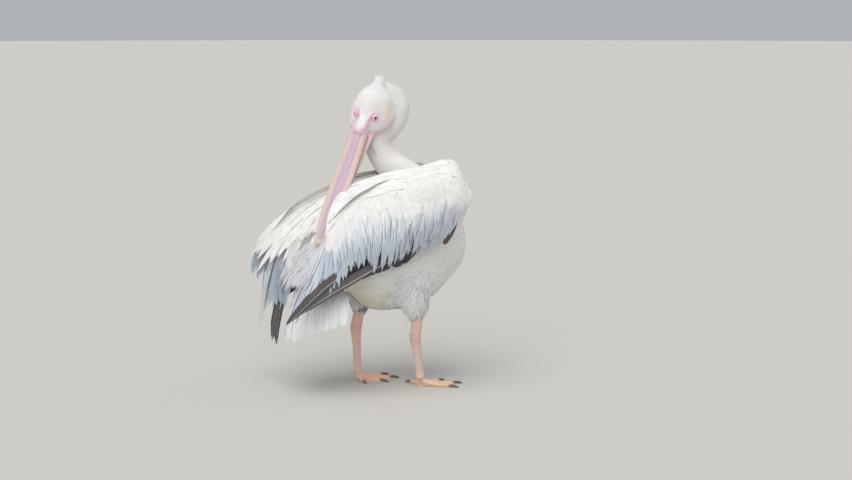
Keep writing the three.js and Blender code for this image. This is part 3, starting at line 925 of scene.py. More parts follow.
def refine_round_eyes(shape):
    """Splits the skin's faces near the eyes until the lids can be shaped."""
    for reach in (0.021, 0.017):
        near = []
        for side in (-1, 1):
            eye = Vector(head_to_frame(eye_place(side)))
            near += [e for e in shape.edges if all((v.co - eye).length < reach for v in e.verts)]
        bmesh.ops.subdivide_edges(shape, edges=near, cuts=1, use_grid_fill=True)
    bmesh.ops.triangulate(shape, faces=[f for f in shape.faces if len(f.verts) > 4])


def eye_axis(side):
    """The way an eye looks, in the head's frame: out, forwards and up."""
    return unit(np.array((0.30, side * 0.72, 0.62)))


def eye_centre(side):
    """Where the eyeball's middle lies in the head's frame, sunk a little into its socket."""
    return eye_place(side) - eye_axis(side) * EYE_SUNK


def shape_lids(places):
    """Raises the skin over each eyeball as two lids, with a gap where the eye shows."""
    p = to_head(places)
    opening = sizes().eye_opening / MM
    for side in (-1, 1):
        axis = eye_axis(side)
        away = p - eye_centre(side)
        ahead = away @ axis
        flat = away - ahead[:, None] * axis
        aslant = np.linalg.norm(flat, axis=1)
        near = (aslant < 20) & (ahead > -16)
        along_lid = unit(np.cross(axis, np.cross((1.0, 0.0, 0.15), axis)))
        gap = np.hypot(flat @ along_lid / opening, flat @ np.cross(axis, along_lid) / (opening * 0.78))
        radius = EYE_RADIUS + 0.8
        turn = 0.74 * radius
        cap = np.where(aslant < turn, np.sqrt(np.maximum(radius**2 - aslant**2, 0)),
                       0.673 * radius - 1.1 * (aslant - turn))
        cap = cap + 0.8 * np.exp(-(((gap - 1.45) / 0.35) ** 2)) - 0.5 * np.exp(-(((gap - 2.4) / 0.3) ** 2))
        lid = np.logaddexp(ahead / 1.2, cap / 1.2) * 1.2
        socket = np.sqrt(np.maximum((EYE_RADIUS - 2) ** 2 - aslant**2, 1))
        wanted = np.where(gap < 1, socket, lid)
        p = np.where(near[:, None], p + (wanted - ahead)[:, None] * axis, p)
    return head_to_frame(p)


def shape_forehead(places):
    """Brings the skin of the forehead and the cheeks down over the root of the bill."""
    p = to_head(places)
    across = np.abs(p[:, 1])
    p[:, 2] += 5 * ramp(p[:, 0], -30, -8) * (1 - ramp(across, 12, 26)) * ramp(p[:, 2], -22, -8)
    p[:, 1] -= 4 * ramp(p[:, 0], -34, -6) * ramp(-p[:, 1], 6, 20)
    return head_to_frame(p)


def soften_crest(places, links):
    """Turns the solid crest into a low swelling, from which its feathers stand."""
    gap, _ = nearest_on_line(to_head(places), ((-126, 3, 0), (-160, 5, -1)))
    share = (1 - ramp(gap, 14, 30))[:, None]
    p = to_head(places + (eased(places, links, 14) - places) * share)
    across = np.hypot(p[:, 1] - 8, p[:, 2] + 2)
    p[:, 0] -= 11 * np.exp(-((across / 30) ** 2)) * ramp(-p[:, 0], 84, 116)
    return head_to_frame(p)


def taper_sleeve(places):
    """Lets the skin at the root of the bill dip under the horn instead of ending in a step."""
    p = to_head(places)
    taper = 1 - 0.15 * ramp(p[:, 0], 6, 27)
    middle = np.array((0.0, -17.0))
    p[:, 1:] = middle + (p[:, 1:] - middle) * taper[:, None]
    near = (p[:, 0] > 6) & (p[:, 0] < 42) & (np.abs(p[:, 1]) < 40) & (np.abs(p[:, 2] + 22) < 32)
    return np.where(near[:, None], head_to_frame(p), places)


def shape_face_folds(places, normals):
    """Soft folds of bare skin under the eye and at the corner of the mouth."""
    p = to_head(places)
    bare = bare_face(places)
    fine = np.sin(p[:, 0] * 0.42 + np.abs(p[:, 1]) * 0.25)
    broad = np.sin(p[:, 0] * 0.17 - p[:, 2] * 0.3)
    away = ramp(eye_distance(places), 12, 18)
    return places + normals * ((fine * 0.25 + broad * 0.25) * bare * away * MM)[:, None]


def lie_of_plumage(points, regions):
    """The way the feathers point at places on the skin."""
    bird = to_bird(points)
    flow = np.tile(np.array((-0.9, 0.0, -0.42)), (len(points), 1))
    breast = ramp(bird[:, 0], 120, 210)
    flow = mixed(flow, (-0.35, 0.0, -0.9), breast)
    line = np.array(NECK_LINE, float)
    _, share = nearest_on_line(bird, NECK_LINE)
    down_neck = -unit(along_curve(line, share + 0.02) - along_curve(line, share - 0.02))
    neck = inside(regions, "neck")
    flow[neck] = down_neck[neck]
    flow[inside(regions, "head") | inside(regions, "pouch")] = -HEAD_AXES[:, 0] - 0.15 * HEAD_AXES[:, 2]
    flow[inside(regions, "thigh")] = (-0.12, 0.0, -1.0)
    tree, ways, _ = wing_lie()
    for i in np.flatnonzero(inside(regions, "wing")):
        flow[i] = ways[tree.find(Vector(bird[i]))[1]]
    return flow


def wing_share(points):
    """How far down its tract each point lies, from 0 at the roots to 1 at the tips."""
    tree, _, shares = wing_lie()
    return np.array([shares[tree.find(Vector(place))[1]] for place in to_bird(points)])


def wing_lie():
    """Sample points of the wings' tracts, the way down the feathers at each, and how far down it is."""
    s, t = (grid.ravel() for grid in np.meshgrid(np.linspace(0, 1, 60), np.linspace(0.02, 0.9, 14)))
    places, ways = [], []
    for side in ("right", "left"):
        for name in ("coverts", "scapulars"):
            tract = wing_tract(side, name)
            places.append(tract.at(s, t))
            ways.append(tract.down(s, t))
    return search_tree(np.vstack(places)), np.vstack(ways), np.tile(t, len(places))


def unwrap(piece, name):
    """Unwraps a piece's own shape into the named map."""
    piece.data.uv_layers.new(name=name)
    bpy.context.view_layer.objects.active = piece
    piece.select_set(True)
    bpy.ops.object.mode_set(mode="EDIT")
    bpy.ops.mesh.select_all(action="SELECT")
    bpy.ops.uv.smart_project(angle_limit=radians(66), island_margin=0.001)
    bpy.ops.object.mode_set(mode="OBJECT")
    piece.select_set(False)


def make_body_skin():
    """The skin of everything but the legs, with a finder of the nearest part and each part's region."""
    parts = [(region, merged_node(node, PUSH)) for node, region in SKIN_NODES.items()]
    parts += [("head", bill_sleeve("upper_bill", 30)), ("head", bill_sleeve("lower_bill", 22))]
    for side in ("right", "left"):
        for name, reach, depth in WING_FLESH:
            parts.append(("wing", wing_flesh(side, name, reach, depth)))
        parts.append(("wing", arm_flesh(side)))
    finder, region_of_face = region_finder(parts)
    mesh = remeshed(joined([part for _, part in parts]), sizes().body_grain)
    links = links_of(mesh)
    places = shape_forehead(soften_crest(eased(corners(mesh), links, 5), links))
    move_corners(mesh, places)
    regions = region_of_face[[finder.find_nearest(Vector(p))[2] for p in places]]
    depth = np.array([COAT_DEPTH[name] for name in REGIONS])[regions]
    bare = bare_face(places) * inside(regions, "head")
    push = np.where(inside(regions, "wing"), 0.0, PUSH / MM)
    inward = eased(depth * (1 - bare) + push, links, 10)
    move_corners(mesh, places - normals_of(mesh) * (inward * MM)[:, None])

    shape = bmesh.new()
    shape.from_mesh(mesh)
    bpy.data.meshes.remove(mesh)
    refine_round_eyes(shape)
    mesh = mesh_of("body_skin", shape)
    places = corners(mesh)
    at_eyes = np.exp(-((eye_distance(places) / 20) ** 4))[:, None]
    places = places + (eased(places, links_of(mesh), 4) - places) * at_eyes
    move_corners(mesh, places)
    places = shape_face_folds(places, normals_of(mesh))
    move_corners(mesh, taper_sleeve(shape_lids(places)))
    return mesh, finder, region_of_face


def make_leg_skin():
    """The skin of shanks, feet and webs, creased at the heels and flat where it stands."""
    mesh = remeshed(joined([merged_node(node, PUSH) for node in LEG_NODES]), sizes().foot_grain)
    places = rounded(corners(mesh), links_of(mesh), 5)
    move_corners(mesh, places)
    inward = PUSH + CREASE_DEPTH * heel_creases(to_bird(places))
    places = places - normals_of(mesh) * inward[:, None]
    places[:, 2] = np.where(places[:, 2] < SOLE_HEIGHT, 0, places[:, 2])
    move_corners(mesh, places)
    return mesh


def make_skin():
    body, finder, region_of_face = make_body_skin()
    legs = make_leg_skin()
    whole = bmesh.new()
    whole.from_mesh(body)
    body_count = len(whole.verts)
    whole.from_mesh(legs)
    for mesh in (body, legs):
        bpy.data.meshes.remove(mesh)
    dress_skin(mesh_of("skin", whole), body_count, finder, region_of_face)


def dress_skin(mesh, body_count, finder, region_of_face):
    places = corners(mesh)
    links = links_of(mesh)
    regions = np.full(len(places), REGIONS.index("leg"))
    regions[:body_count] = region_of_face[[finder.find_nearest(Vector(p))[2] for p in places[:body_count]]]
    flow = eased(unit(lie_of_plumage(places, regions)), links, 8)
    tone = plumage_tone(places, regions)
    tone = painted(tone, regions, "leg", leg_tone(places))
    tone = painted(tone, regions, "pouch", np.array(colours().pouch))
    store(mesh, "tone", eased(tone, links, 2))
    store(mesh, "flow", flow, "FLOAT_VECTOR")
    store(mesh, "region", regions, "INT")
    store(mesh, "scaly", inside(regions, "leg").astype(float), "FLOAT")
    skin = object_of("skin", mesh)
    unwrap(skin, "OFBake")
    dressed(skin, skin_finish())
    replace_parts(skin, *SKIN_NODES, *LEG_NODES)


# ---------- feathers ----------

def blade(outline, sides):
    """A thin blade as arrays: for each corner its place across, its rise and its station, and the faces.
    A prism makes it, cut at each station. Its first corner is the ridge."""
    stations = len(outline)
    prism = bmesh.new()
    half = (stations - 1) / 2
    bmesh.ops.create_cone(prism, cap_ends=True, segments=sides, radius1=1, radius2=1, depth=2 * half)
    for cut in range(1, stations - 1):
        geometry = prism.verts[:] + prism.edges[:] + prism.faces[:]
        bmesh.ops.bisect_plane(prism, geom=geometry, plane_co=(0, 0, cut - half), plane_no=(0, 0, 1))
    prism.verts.index_update()
    across = np.array([v.co.x for v in prism.verts])
    rise = np.array([v.co.y for v in prism.verts])
    station = np.array([round(v.co.z + half) for v in prism.verts])
    faces = [[v.index for v in face.verts] for face in prism.faces]
    prism.free()
    return across / np.abs(across).max(), rise, station, faces


class Coat:
    """Gathers feathers and builds them as joined meshes."""

    def __init__(self):
        self.parts = []

    def add(self, spines, outs, widths, tones, roots, outline=TUFT, thickness=0.0006, camber=0.0, sides=3):
        """spines and outs hold, for each feather, its quill's points in the frame and the way up there."""
        count = len(spines)
        if count == 0:
            return
        across, rise, station, faces = blade(outline, sides)
        fractions, share = stations_of(outline)
        ahead = unit(np.gradient(spines, axis=1))
        aside = unit(np.cross(outs, ahead))
        half = np.asarray(widths).reshape(-1, 1) / 2 * share[None, :]
        thick = np.broadcast_to(np.asarray(thickness, float), (count,))[:, None] * np.sqrt(share)[None, :] / 2
        wide = half[:, station] * across
        high = thick[:, station] * rise - camber * np.abs(wide)
        places = spines[:, station] + aside[:, station] * wide[..., None] + outs[:, station] * high[..., None]
        vane = np.stack([(across + 1) / 2, fractions[station]], axis=1)
        if tones.ndim == 2:
            tones = np.repeat(tones[:, None], len(outline), axis=1)
        self.parts.append((places, tones[:, station], roots, vane, faces))

    def build(self, name, material, nodes=()):
        """Makes the pieces, each small enough to stay under the limit on triangles.
        The first stands for the named nodes."""
        pieces = []
        batch, held = [], 0
        for places, tones, roots, vane, faces in self.parts:
            weight = len(faces) / TUFT_FACES
            step = max(1, int(MOST_FEATHERS / weight))
            for start in range(0, len(places), step):
                cut = slice(start, start + step)
                amount = len(places[cut]) * weight
                if held + amount > MOST_FEATHERS and batch:
                    pieces.append(batch)
                    batch, held = [], 0
                batch.append((places[cut], tones[cut], roots[cut], vane, faces))
                held += amount
        pieces.append(batch)
        for number, batch in enumerate(pieces, 1):
            label = name if len(pieces) == 1 else f"{name}_{number}"
            piece = dressed(object_of(label, joined_feathers(label, batch)), material)
            piece.data.set_sharp_from_angle(angle=radians(50))
            if nodes and number == 1:
                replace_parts(piece, *nodes)


def joined_feathers(name, batch):
    """One mesh from batches of like feathers, with its two maps and its colours."""
    places, loops, starts, vanes, bakes, tones = [], [], [], [], [], []
    corner, loop = 0, 0
    for spots, colour_at, roots, vane, faces in batch:
        count, each = spots.shape[:2]
        ring = np.concatenate([np.array(face) for face in faces])
        first = np.concatenate([[0], np.cumsum([len(face) for face in faces])[:-1]])
        steps = np.arange(count)[:, None]
        places.append(spots.reshape(-1, 3))
        tones.append(colour_at.reshape(-1, 3))
        loops.append((ring + steps * each + corner).ravel())
        starts.append((first + steps * len(ring) + loop).ravel())
        vanes.append(np.tile(vane[ring], (count, 1)))
        bakes.append((roots[:, None] + (vane[ring] - 0.5) * BAKE_PATCH).reshape(-1, 2))
        corner += count * each
        loop += count * len(ring)
    mesh = bpy.data.meshes.new(name)
    places = np.vstack(places)
    loops = np.concatenate(loops)
    starts = np.concatenate(starts)
    mesh.vertices.add(len(places))
    mesh.vertices.foreach_set("co", places.astype(np.float32).ravel())
    mesh.loops.add(len(loops))
    mesh.loops.foreach_set("vertex_index", loops.astype(np.int32))
    mesh.polygons.add(len(starts))
    mesh.polygons.foreach_set("loop_start", starts.astype(np.int32))
    mesh.update(calc_edges=True)
    for label, values in (("OFBake", np.vstack(bakes)), ("vane", np.vstack(vanes))):
        mesh.uv_layers.new(name=label).uv.foreach_set("vector", values.astype(np.float32).ravel())
    store(mesh, "tone", np.clip(np.vstack(tones), 0, 1))
    mesh.validate()
    return mesh


class SkinMap:
    """The finished skin: where its triangles are, what they hold, and the nearest point to any other."""

    def __init__(self):
        mesh = bpy.data.objects["skin"].data
        mesh.calc_loop_triangles()
        count = len(mesh.loop_triangles)
        corner_ids, loop_ids = np.zeros(count * 3, int), np.zeros(count * 3, int)
        mesh.loop_triangles.foreach_get("vertices", corner_ids)
        mesh.loop_triangles.foreach_get("loops", loop_ids)
        self.triangles = corner_ids.reshape(-1, 3)
        self.places = corners(mesh)
        self.normals = normals_of(mesh)
        self.flow = stored(mesh, "flow", 3, "vector")
        self.region = stored(mesh, "region", 1, "value").astype(int)
        unwrapped = np.zeros(len(mesh.loops) * 2)
        mesh.uv_layers["OFBake"].uv.foreach_get("vector", unwrapped)
        self.unwrapped = unwrapped.reshape(-1, 2)[loop_ids.reshape(-1, 3)]
        self.tree = BVHTree.FromPolygons(self.places.tolist(), self.triangles.tolist())
        a, b, c = (self.places[self.triangles[:, k]] for k in range(3))
        self.area = np.linalg.norm(np.cross(b - a, c - a), axis=1) / 2

    def patches(self, points):
        """Where points nearest to the skin lie on its unwrap."""
        found = [self.tree.find_nearest(Vector(p))[2] for p in points]
        return self.unwrapped[found].mean(axis=1)

    def scattered(self, chosen, spacing, rng):
        """Roots spread evenly over the chosen triangles, about spacing metres apart at each."""
        ids = np.flatnonzero(chosen)
        room = self.area[ids] / spacing[ids] ** 2
        tries = int(room.sum() * ROOTS_TRIED)
        picked = ids[rng.choice(len(ids), tries, p=room / room.sum())]
        u, v = rng.random(tries), rng.random(tries)
        flip = u + v > 1
        u, v = np.where(flip, 1 - u, u), np.where(flip, 1 - v, v)
        shares = np.stack([1 - u - v, u, v], axis=1)
        points = np.einsum("ij,ijk->ik", shares, self.places[self.triangles[picked]])
        tree = search_tree(points)
        free = np.ones(tries, bool)
        kept = []
        for i in range(tries):
            if not free[i]:
                continue
            kept.append(i)
            for _, j, _ in tree.find_range(points[i], spacing[picked[i]] * CLOSEST_ROOTS):
                free[j] = False
        return points[kept], picked[kept], shares[kept]

    def spread(self, values, picked, shares):
        """Values at the skin's corners, read at scattered roots."""
        return np.einsum("ij,ijk->ik", shares, values[self.triangles[picked]])

    def spread_roots(self, picked, shares):
        """Where scattered roots lie on the skin's unwrap."""
        return np.einsum("ij,ijk->ik", shares, self.unwrapped[picked])


def laid_over_skin(skin, roots, normals, ways, lengths, outline, lifts, cling):
    """Quills that start at roots and follow the skin, rising from lifts[0] to lifts[1] metres over it."""
    fractions, _ = stations_of(outline)
    stations = len(fractions)
    spines = np.zeros((len(roots), stations, 3))
    outs = np.zeros_like(spines)
    find = skin.tree.find_nearest
    for i in range(len(roots)):
        place = Vector(roots[i])
        out = Vector(normals[i])
        way = Vector(ways[i])
        way = (way - out * way.dot(out)).normalized()
        spines[i, 0], outs[i, 0] = place, out
        for k in range(1, stations):
            ahead = place + way * (lengths[i] * (fractions[k] - fractions[k - 1]))
            near, facing, _, _ = find(ahead)
            if facing.dot(out) > 0:
                ahead = ahead.lerp(near, cling[i])
                out = out.lerp(facing, 0.6 * cling[i]).normalized()
            way = (ahead - place).normalized()
            place = ahead
            spines[i, k], outs[i, k] = place, out
    height = lifts[:, :1] + (lifts[:, 1:] - lifts[:, :1]) * fractions[None, :] ** 0.8
    return spines + outs * height[..., None], outs


def turned(ways, normals, angles):
    """Directions turned about the normals by angles."""
    sideways = np.cross(normals, ways)
    return ways * np.cos(angles)[:, None] + sideways * np.sin(angles)[:, None]


def under_wings(points, normals):
    """Which points of the body lie under a folded wing, where no feather is seen."""
    trees = []
    for node in ("right_coverts", "left_coverts", "right_scapulars", "left_scapulars"):
        cover = merged_node(node, 0)
        trees.append(BVHTree.FromBMesh(cover))
        cover.free()
    hidden = np.zeros(len(points), bool)
    for i, (point, normal) in enumerate(zip(points, normals)):
        for tree in trees:
            start = Vector(point) + Vector(normal) * COVER_START
            if tree.ray_cast(start, Vector(normal), COVER_REACH)[0] is not None:
                hidden[i] = True
                break
    return hidden


def spacing_field(skin, region, base):
    """Space between roots for each triangle, and how large a feather grows there: both fall up the neck."""
    growth = np.ones(len(skin.triangles))
    if region == "neck":
        _, share = nearest_on_line(to_bird(skin.places[skin.triangles].mean(axis=1)), NECK_LINE)
        growth = 1.7 - 0.9 * share
    return base * growth, growth


def make_contour_coat(region):
    """The small feathers that give one region of the body its surface."""
    size = sizes()
    skin = SkinMap()
    rng = np.random.default_rng(size.seed + REGIONS.index(region))
    length_name, width, base, root_lift, tip_lift, turn, cling = CONTOUR[region]
    here = inside(skin.region[skin.triangles[:, 0]], region)
    spacing, growth = spacing_field(skin, region, base)
    points, picked, shares = skin.scattered(here, spacing, rng)
    normals = unit(skin.spread(skin.normals, picked, shares))
    keep = np.ones(len(points), bool)
    bare = np.zeros(len(points))
    if region == "head":
        bare = bare_face(points)
        keep = (bare < 0.45) & (eye_distance(points) > 10)
    if region == "trunk":
        keep = ~under_wings(points, normals) | (to_bird(points)[:, 2] < 400)
    if region == "wing":
        front = to_bird(points)[:, 0] > 90
        keep = front | ((normals[:, 1] * np.sign(points[:, 1]) > -0.3) & (wing_share(points) < 0.42))
    points, picked, shares, normals, bare = (kept[keep] for kept in (points, picked, shares, normals, bare))
    count = len(points)
    ways = unit(skin.spread(skin.flow, picked, shares))
    ways = turned(ways, normals, rng.normal(0, turn, count))
    scale = growth[picked] * rng.uniform(0.85, 1.15, count) * (1 - 0.4 * np.clip(bare * 2, 0, 1))
    lengths = getattr(size, length_name) * scale
    lifts = np.stack([np.full(count, root_lift), tip_lift * rng.uniform(0.75, 1.1, count)], axis=1)
    if region == "wing":
        lengths = lengths * (0.4 + 0.6 * ramp(wing_share(points), 0.04, 0.24))
    if region == "trunk":
        finer = 1 - 0.5 * ramp(to_bird(points)[:, 2], 380, 490)
        lengths = lengths * finer
        lifts = lifts * (finer**2)[:, None]
    if region in ("trunk", "thigh"):
        ruffle = ruffled(points)
        lifts[:, 1] *= 1 + 0.4 * ruffle
        ways = turned(ways, normals, ruffle * rng.normal(0, 0.22, count))
    clings = np.full(count, cling)
    spines, outs = laid_over_skin(skin, points, normals, ways, lengths, TUFT, lifts, clings)
    tones = plumage_tone(points, np.full(count, REGIONS.index(region)))
    tones = tones * rng.uniform(0.95, 1.04, (count, 1))
    roots = skin.spread_roots(picked, shares)
    coat = Coat()
    coat.add(spines, outs, width * growth[picked], tones, roots, TUFT, TUFT_THICKNESS, camber=0.16)
    if region == "head":
        add_crest(coat, skin, rng)
    coat.build(f"{region}_coat", plumage_finish())


def ruffled(points):
    """1 on the flanks over the thighs, where the feathers stand loosely, and 0 elsewhere."""
    bird = to_bird(points)
    flank = np.exp(-(((bird[:, 0] - 40) / 90) ** 2) - ((bird[:, 2] - 300) / 70) ** 2)
    return np.clip(flank * 1.3, 0, 1)


def add_crest(coat, skin, rng):
    """Loose longer feathers at the back of the crown, which end in a low flat tuft."""
    count = 520
    back = rng.random(count)
    spots = np.stack([-106 - 42 * back, rng.normal(7, 13, count), np.full(count, 25.0)], axis=1)
    roots, normals = [], []
    for spot in to_frame(head_to_bird(spots)):
        near, facing, _, _ = skin.tree.find_nearest(Vector(spot))
        roots.append(near)
        normals.append(facing)
    roots, normals = np.array(roots), np.array(normals)
    p = to_head(roots)
    ends = (rng.normal(-148, 1.2, count), 6 + 0.62 * (p[:, 1] - 7), rng.normal(-1, 4, count))
    tuft_end = np.stack(ends, axis=1)
    wisp = rng.random(count) < 0.04
    tuft_end[wisp] += (0, -15, 0)
    away = (tuft_end - p) @ HEAD_AXES.T
    lengths = np.clip(np.linalg.norm(away, axis=1) * MM, 0.006, 0.017)
    lifts = np.stack([np.full(count, 0.0002), rng.uniform(0.0005, 0.002, count)], axis=1)
    cling = np.clip(1 - ramp(-p[:, 0], 100, 124), 0.05, 1)
    spines, outs = laid_over_skin(skin, roots, normals, unit(away), lengths, TUFT, lifts, cling)
    # Painted shade: the white crest takes some of the sky-blue shade.
    tones = mixed(colours().white, colours().sky_blue_shade, 0.2) * rng.uniform(0.95, 1.05, (count, 1))
    widths = np.full(count, 0.0040)
    coat.add(spines, outs, widths, tones, skin.patches(roots), TUFT, TUFT_THICKNESS, camber=0.1)


# ---------- the long feathers ----------

def feather_row(coat, skin, tract, rng, tip, reach, count, width, tone, span=(0, 1), outline=LANCE,
                ragged=0.05, lift=(0.0, 3.0), face=1, height=surface_height, scatter=0.25, sway=0.008,
                camber=0.10, shaft=None, quill_width=2.4):
    """A row of long feathers on a tract, with their tips at t = tip and their roots reach above it.
    tip may be a function of s, and tone is one colour or a function of s that gives colours.
    span is the part of the edge that the row takes up, and face is -1 for the tract's under side.
    ragged, scatter and sway say how much tips, places and leanings differ, as shares of the tract."""
    fractions, _ = stations_of(outline)
    s = span[0] + (span[1] - span[0]) * (np.arange(count) + 0.5) / count
    s = s + rng.normal(0, scatter / count, count)
    tips = (tip(s) if callable(tip) else tip) + rng.normal(0, ragged, count)
    roots = np.maximum(tips - reach * rng.uniform(0.94, 1.06, count), 0.01)
    t = roots[:, None] + (tips - roots)[:, None] * fractions
    lean = rng.normal(0, sway, count)
    along = np.clip(s[:, None] + lean[:, None] * fractions, 0, 1)
    middle = tract.at(along, t)
    outs = tract.out(along, np.clip(t, 0.02, 0.98)) * face
    rise = height(t) * (face > 0) + lift[0] + (lift[1] - lift[0]) * fractions
    rise = rise + rng.normal(0, 0.15, (count, 1))
    spines = to_frame(middle + outs * rise[..., None])
    tones = tone(s) if callable(tone) else np.tile(np.asarray(tone), (count, 1))
    tones = tones * rng.uniform(0.94, 1.04, (count, 1))
    patches = skin.patches(spines[:, 0])
    widths = width * MM * rng.uniform(0.88, 1.1, count)
    coat.add(spines, outs, widths, tones, patches, outline, sizes().vane_thickness, camber=camber)
    if shaft is not None:
        widths = np.full(count, quill_width * MM)
        tones = np.tile(np.asarray(shaft), (count, 1))
        quills = spines + outs * QUILL_RISE
        coat.add(quills, outs, widths, tones, patches, shaft_outline(outline), QUILL_DEPTH)


def shaft_outline(outline):
    """A tapering quill with the same stations as a vane's outline."""
    return tuple((f, 1 - 0.85 * f) for f, _ in outline)


def clumped(base, swing, waves, phase):
    """A tip line that falls and rises in soft clumps along a row."""
    def edge(s):
        return base + swing * (0.6 * np.sin(waves * s + phase) + 0.4 * np.sin(2.7 * waves * s + 2 * phase))

    return edge


def make_coverts(side):
    """The folded wing's covering feathers: short at the top, long and hanging below."""
    skin = SkinMap()
    rng = draws(f"{side}_coverts")
    tract = wing_tract(side, "coverts")
    coat = Coat()
    rows = 14
    for row in range(rows):
        share = row / (rows - 1)
        tip = 0.99 - 0.76 * share
        reach = min(0.58 - 0.30 * share, 0.72 * tip)
        # tint is 1 on the lowest rows, which take the most painted shade, and 0 near the top.
        tint = float(1 - ramp(1 - tip, 0.12, 0.60))
        edge = clumped(tip, 0.045 * (1 - share) + 0.02, 22, row * 1.7)
        feather_row(coat, skin, tract, rng, edge, reach, 62, 12.5, hanging_tone(tint),
                    ragged=0.03 + 0.02 * share, lift=(-2.6 + 0.9 * share, 0.8 - 0.5 * share), sway=0.012,
                    camber=0.09 - 0.05 * share)
    # Painted shadow: thin dark feathers stand for the shade in the gaps between the hanging feathers.
    for count, tip, reach in ((26, 0.92, 0.26), (22, 0.80, 0.30)):
        feather_row(coat, skin, tract, rng, tip, reach, count, 1.9, colours().streak, ragged=0.07,
                    lift=(0.2, 1.5), scatter=1.6, span=(0.2, 0.99), sway=0.012)
    coat.build(f"{side}_covert_feathers", hanging_finish(), (f"{side}_coverts",))


def hanging_tone(tint):
    """Colours along a wing: painted sky-blue shade where the feathers hang, darkest on the lowest rows, and
    whiter at its front end.
    """
    c = colours()
    # Painted shade: the lower the row, the darker its blue.
    hanging = np.array(c.sky_blue_shade) * (1 - 0.16 * tint)
    return lambda s: mixed(c.white, hanging, tint * (0.5 + 0.5 * ramp(s, 0.06, 0.3)))


def make_shoulder(side):
    """The feathers of the shoulder, which lie along the back over the top of the wing."""
    c = colours()
    skin = SkinMap()
    rng = draws(f"{side}_shoulder")
    far = side == "left"
    white = mixed(c.white, c.cream_and_belly_shade, 0.12 if far else 0.0) * 1.04
    scapulars = wing_tract(side, "scapulars")
    strip = RootStrip(wing_tract(side, "coverts"), down=(-0.03, 0.17), along=(0.10, 0.98))
    coat = Coat()
    for tract, height, wide in ((scapulars, surface_height, 24 if far else 15), (strip, along_roots, 9)):
        rows = 10
        for row in range(rows):
            share = row / (rows - 1)
            edge = clumped((0.98 if far else 1.0) - 0.80 * share, 0.02, 15, row)
            feather_row(coat, skin, tract, rng, edge, 0.42 - 0.18 * share, wide, 16 - 4 * share, white,
                        ragged=0.04, lift=(-2.4, 0.8), sway=0.014, height=height)
        if tract is scapulars:
            # Painted shadow: a few thin dark feathers stand for the shade in gaps between the scapulars.
            feather_row(coat, skin, tract, rng, 0.8, 0.3, 8 if far else 2, 2.0, mixed(c.streak, c.white, 0.3),
                        ragged=0.14, lift=(0.4, 1.2), scatter=1.5, height=height)
    coat.build(f"{side}_scapular_feathers", hanging_finish(), (f"{side}_scapulars",))


def make_flight_feathers(side):
    """Blackish primaries and secondaries with pale shafts, and the long pale tertials over them."""
    c = colours()
    skin = SkinMap()
    rng = draws(f"{side}_flight")
    dark = np.array(c.blackish)
    coat = Coat()
    if side == "right":
        for row, (curve, width) in enumerate(WING_TIP):
            long_feather(coat, skin, curve, width, dark * (0.9 + 0.25 * row))
        for curve, width in DARK_SPOT:
            lone_feather(coat, skin, curve, width, dark * 0.8)
    else:
        feather_row(coat, skin, wing_tract(side, "primaries"), rng, 1.0, 0.99, 3, 19, dark, ragged=0.012,
                    lift=(-1.0, 0.4), shaft=c.quill, height=thin, scatter=0.06, sway=0.0, camber=0.05,
                    quill_width=1.8, outline=FLIGHT)
    secondaries = wing_tract(side, "secondaries")
    for row in range(2):
        feather_row(coat, skin, secondaries, rng, 0.94 - 0.12 * row, 0.86, 18, 24, dark * 0.75, ragged=0.008,
                    lift=(-2.6 + row, -1.2 + row), shaft=dark * 2.2, height=thin, sway=0.004, outline=FLIGHT,
                    camber=0.04, quill_width=1.6)
    nodes = (f"{side}_primaries", f"{side}_secondaries")
    coat.build(f"{side}_flight_feathers", flight_finish(), nodes)
    tertials = wing_tract(side, "tertials")
    hanging = Coat()
    for row in range(5):
        # Painted shade: the tertials hang in the sky-blue shade, paler on the upper rows.
        tone = mixed(c.sky_blue_shade, c.rump if side == "left" else c.white, 0.12 * row) * 1.06
        feather_row(hanging, skin, tertials, rng, 1.0 - 0.11 * row, 0.95 - 0.11 * row, 10, 13.5, tone,
                    ragged=0.04, lift=(-1.5 + 0.7 * row, 0.2 + 0.7 * row), height=thin, sway=0.012,
                    shaft=tone * 0.8, quill_width=1.1)
    # Painted shadow: thin dark feathers stand for the shade in gaps between the tertials.
    feather_row(hanging, skin, tertials, rng, 0.86, 0.5, 8, 2.4, np.array(c.streak) * 0.8, ragged=0.10,
                lift=(2.6, 3.4), scatter=1.0, height=thin, sway=0.02)
    hanging.build(f"{side}_tertial_feathers", hanging_finish(), (f"{side}_tertials",))


def lone_feather(coat, skin, curve, width, tone, outline=PADDLE):
    """One feather along a bend of three guide points, which faces away from the bird's middle."""
    fractions, _ = stations_of(outline)
    a, b, c = (np.array(point, float) for point in curve)
    spines = to_frame(bend(a, b, c, fractions[:, None]))[None]
    outs = np.tile(unit(np.array((-0.25, np.sign(a[1]), 0.1))), (1, len(outline), 1))
    coat.add(spines, outs, np.array([width * MM]), np.array([tone]), skin.patches(spines[:, 0]), outline,
             sizes().vane_thickness, camber=0.08)


def long_feather(coat, skin, shaft, width, tone):
    """A flight feather whose vane is broad above its pale shaft and narrow below it."""
    upwards = np.array((0, 0, 0.24 * width))
    vane = tuple(np.array(point) + upwards for point in shaft)
    lone_feather(coat, skin, vane, width, tone, FLIGHT)
    outward = np.array((0, 1.3 * np.sign(shaft[0][1]), 0))
    line = tuple(np.array(point) + outward for point in shaft)
    lone_feather(coat, skin, line, 3.0, np.array(colours().quill), shaft_outline(FLIGHT))


def make_lone_feathers():
    """The few feathers that hang or stand apart from their rows."""
    skin = SkinMap()
    coat = Coat()
    # Each colour is painted lighter or darker by its factor, for the light that falls on that feather.
    for curve, width, name, shade in LONE_FEATHERS:
        lone_feather(coat, skin, curve, width, np.array(getattr(colours(), name)) * shade)
    coat.build("lone_feathers", hanging_finish())


